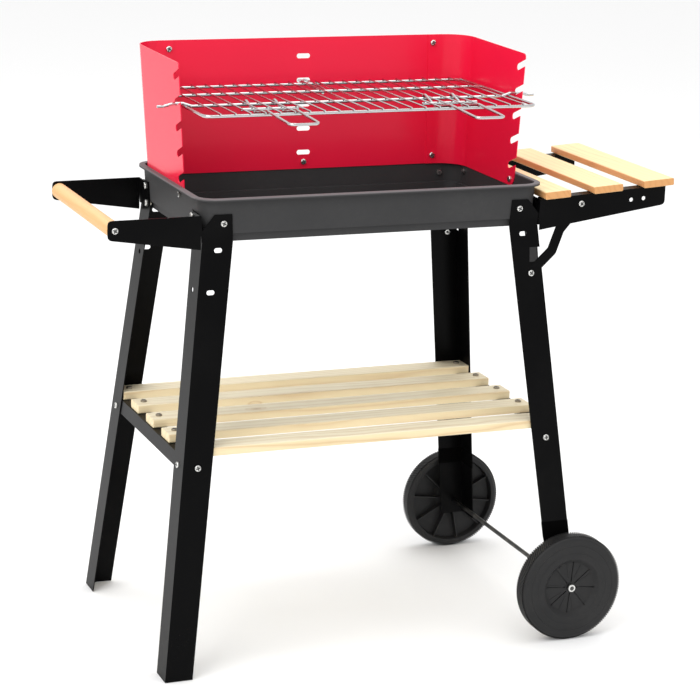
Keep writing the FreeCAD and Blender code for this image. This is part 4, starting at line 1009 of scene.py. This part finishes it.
class GRILL_OT_hardware(bpy.types.Operator):
    """Nuts, axle, washers, caps and a thin dark band round each right leg just above its wheel"""
    bl_idname = "grill.hardware"
    bl_label = "Nuts and axle"

    def execute(self, context):
        names = [n for n in NODES if n.endswith("_nuts")] + ["axle_washers"]
        finish_nodes(names, 0.25 * MM, screw_zinc())
        steel = plated("Axle steel", (0.05, 0.05, 0.05), 0.35, 0.4)
        finish_nodes(("axle",), 0.4 * MM, steel)
        low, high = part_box("axle_caps")
        self.cap("front", -1, low.y)
        self.cap("back", 1, high.y)
        # A thin matt black shell round each right leg just above its wheel, where the legs look
        # dark.
        dark_band = coated("Dark band", (0.001, 0.001, 0.001), 0.6, 0.002, specular=0.02)
        for name in ("front", "back"):
            piece = eased_copy(f"leg_{name}_right", 0.2 * MM, 1)
            select_only(piece)
            bpy.ops.object.mode_set(mode="EDIT")
            for z, normal in ((DARK_BAND_Z[0], (0, 0, 1)), (DARK_BAND_Z[1], (0, 0, -1))):
                bpy.ops.mesh.select_all(action="SELECT")
                bpy.ops.mesh.bisect(plane_co=(0, 0, z), plane_no=normal, clear_inner=True)
            bpy.ops.object.mode_set(mode="OBJECT")
            apply_modifier(piece, "SOLIDIFY", thickness=0.5 * MM, offset=1.0)
            settle(piece, f"leg_dark_band_{name}", dark_band, "frame")
        return {"FINISHED"}

    def cap(self, name, side, end):
        """Round cap on an end of the axle, with a dark middle."""
        low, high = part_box("axle_caps")
        inner = end - side * CAP_DEPTH / 2
        piece = start(bpy.ops.mesh.primitive_cylinder_add, vertices=32,
                      radius=(high.z - low.z) / 2, depth=CAP_DEPTH, rotation=(-math.pi / 2, 0, 0),
                      location=((low.x + high.x) / 2, inner, (low.z + high.z) / 2))
        bpy.ops.object.mode_set(mode="EDIT")
        pick(piece, lambda e: is_corner(e) and (e.verts[0].co.y - inner) * side > 0, "EDGE")
        bpy.ops.mesh.bevel(offset=CAP_ROUNDING, segments=3)
        inset_rings(piece, side, CAP_RINGS)
        bpy.ops.object.mode_set(mode="OBJECT")
        finishes = (screw_zinc(), recess_shade_and_axle_end())
        # The dark middle of the cap stands for the dark end of the axle.
        two_finishes(piece, *finishes,
                     lambda face: (face.center - middle("axle_caps")).xz.length < CAP_DARK
                     and face.normal.y * side > 0.9)
        settle(piece, f"axle_cap_{name}", finishes, "frame", ("axle_caps",))


class GRILL_OT_stage(bpy.types.Operator):
    """Pale floor, soft lights and the camera"""
    bl_idname = "grill.stage"
    bl_label = "Stage"

    def execute(self, context):
        floor = start(bpy.ops.mesh.primitive_plane_add, size=40.0, location=(0, 0, -0.0005))
        floor.name = "floor"
        mat, _, shader = material("Pale floor")
        shader.inputs["Base Color"].default_value = rgba(context.scene.grill_colours.floor)
        shader.inputs["Roughness"].default_value = 0.9
        floor.data.materials.append(mat)
        world = bpy.data.worlds.new("Soft room")
        context.scene.world = world
        world.use_nodes = True
        sky = world.node_tree.nodes["Background"]
        sky.inputs["Color"].default_value = (1, 1, 1, 1)
        sky.inputs["Strength"].default_value = 1.0
        for name, place, size, watts in LAMPS:
            data = bpy.data.lights.new(name, "AREA")
            data.size = size
            data.energy = watts
            lamp = bpy.data.objects.new(name, data)
            context.scene.collection.objects.link(lamp)
            lamp.location = place
            aim = Vector(LAMP_AIM) - Vector(place)
            lamp.rotation_euler = aim.to_track_quat("-Z", "Y").to_euler()
        camera_data = bpy.data.cameras.new("camera")
        camera_data.sensor_width = 36.0
        camera_data.lens = LENS
        camera = bpy.data.objects.new("camera", camera_data)
        context.scene.collection.objects.link(camera)
        azimuth, elevation, roll = (math.radians(angle) for angle in CAMERA_TURN)
        back = Vector((math.sin(azimuth) * math.cos(elevation),
                       -math.cos(azimuth) * math.cos(elevation), math.sin(elevation)))
        level = Vector((math.cos(azimuth), math.sin(azimuth), 0.0))
        upright = back.cross(level)
        right = level * math.cos(roll) + upright * math.sin(roll)
        up = upright * math.cos(roll) - level * math.sin(roll)
        target = Vector(CAMERA_TARGET) + Vector((middle("fire_pan").x, 0.0, 0.0))
        place = target + back * CAMERA_AWAY
        camera.matrix_world = Matrix(((right.x, up.x, back.x, place.x),
                                      (right.y, up.y, back.y, place.y),
                                      (right.z, up.z, back.z, place.z), (0, 0, 0, 1)))
        context.scene.camera = camera
        context.scene.view_settings.view_transform = "Standard"
        return {"FINISHED"}


PIECES = (GRILL_OT_pan, GRILL_OT_windshield, GRILL_OT_steelwork, GRILL_OT_slats, GRILL_OT_dowel,
          GRILL_OT_grate, GRILL_OT_grips, GRILL_OT_wheels, GRILL_OT_screws, GRILL_OT_hardware,
          GRILL_OT_stage)


class GRILL_PT_sidebar(bpy.types.Panel):
    """Settings and pieces of the grill"""
    bl_idname = "GRILL_PT_sidebar"
    bl_label = "Trolley grill"
    bl_space_type = "VIEW_3D"
    bl_region_type = "UI"
    bl_category = "Grill"

    def draw(self, context):
        for group_name in ("grill_colours", "grill_sizes"):
            settings = getattr(context.scene, group_name)
            for key in settings.bl_rna.properties.keys():
                if key not in ("rna_type", "name"):
                    self.layout.prop(settings, key)
        for piece in PIECES:
            self.layout.operator(piece.bl_idname)


CLASSES = (GrillColours, GrillSizes, *PIECES, GRILL_PT_sidebar)


def register():
    """Add the classes and the settings."""
    for item in CLASSES:
        bpy.utils.register_class(item)
    bpy.types.Scene.grill_colours = PointerProperty(type=GrillColours)
    bpy.types.Scene.grill_sizes = PointerProperty(type=GrillSizes)


def unregister():
    """Take the classes and the settings away."""
    del bpy.types.Scene.grill_sizes
    del bpy.types.Scene.grill_colours
    for item in reversed(CLASSES):
        bpy.utils.unregister_class(item)


def main():
    """Build every piece."""
    register()
    grill = bpy.ops.grill
    for step in (grill.pan, grill.windshield, grill.steelwork, grill.slats, grill.dowel,
                 grill.grate, grill.grips, grill.wheels, grill.screws, grill.hardware,
                 grill.stage):
        step()
    bpy.context.view_layer.update()


if __name__ == "__main__":
    main()
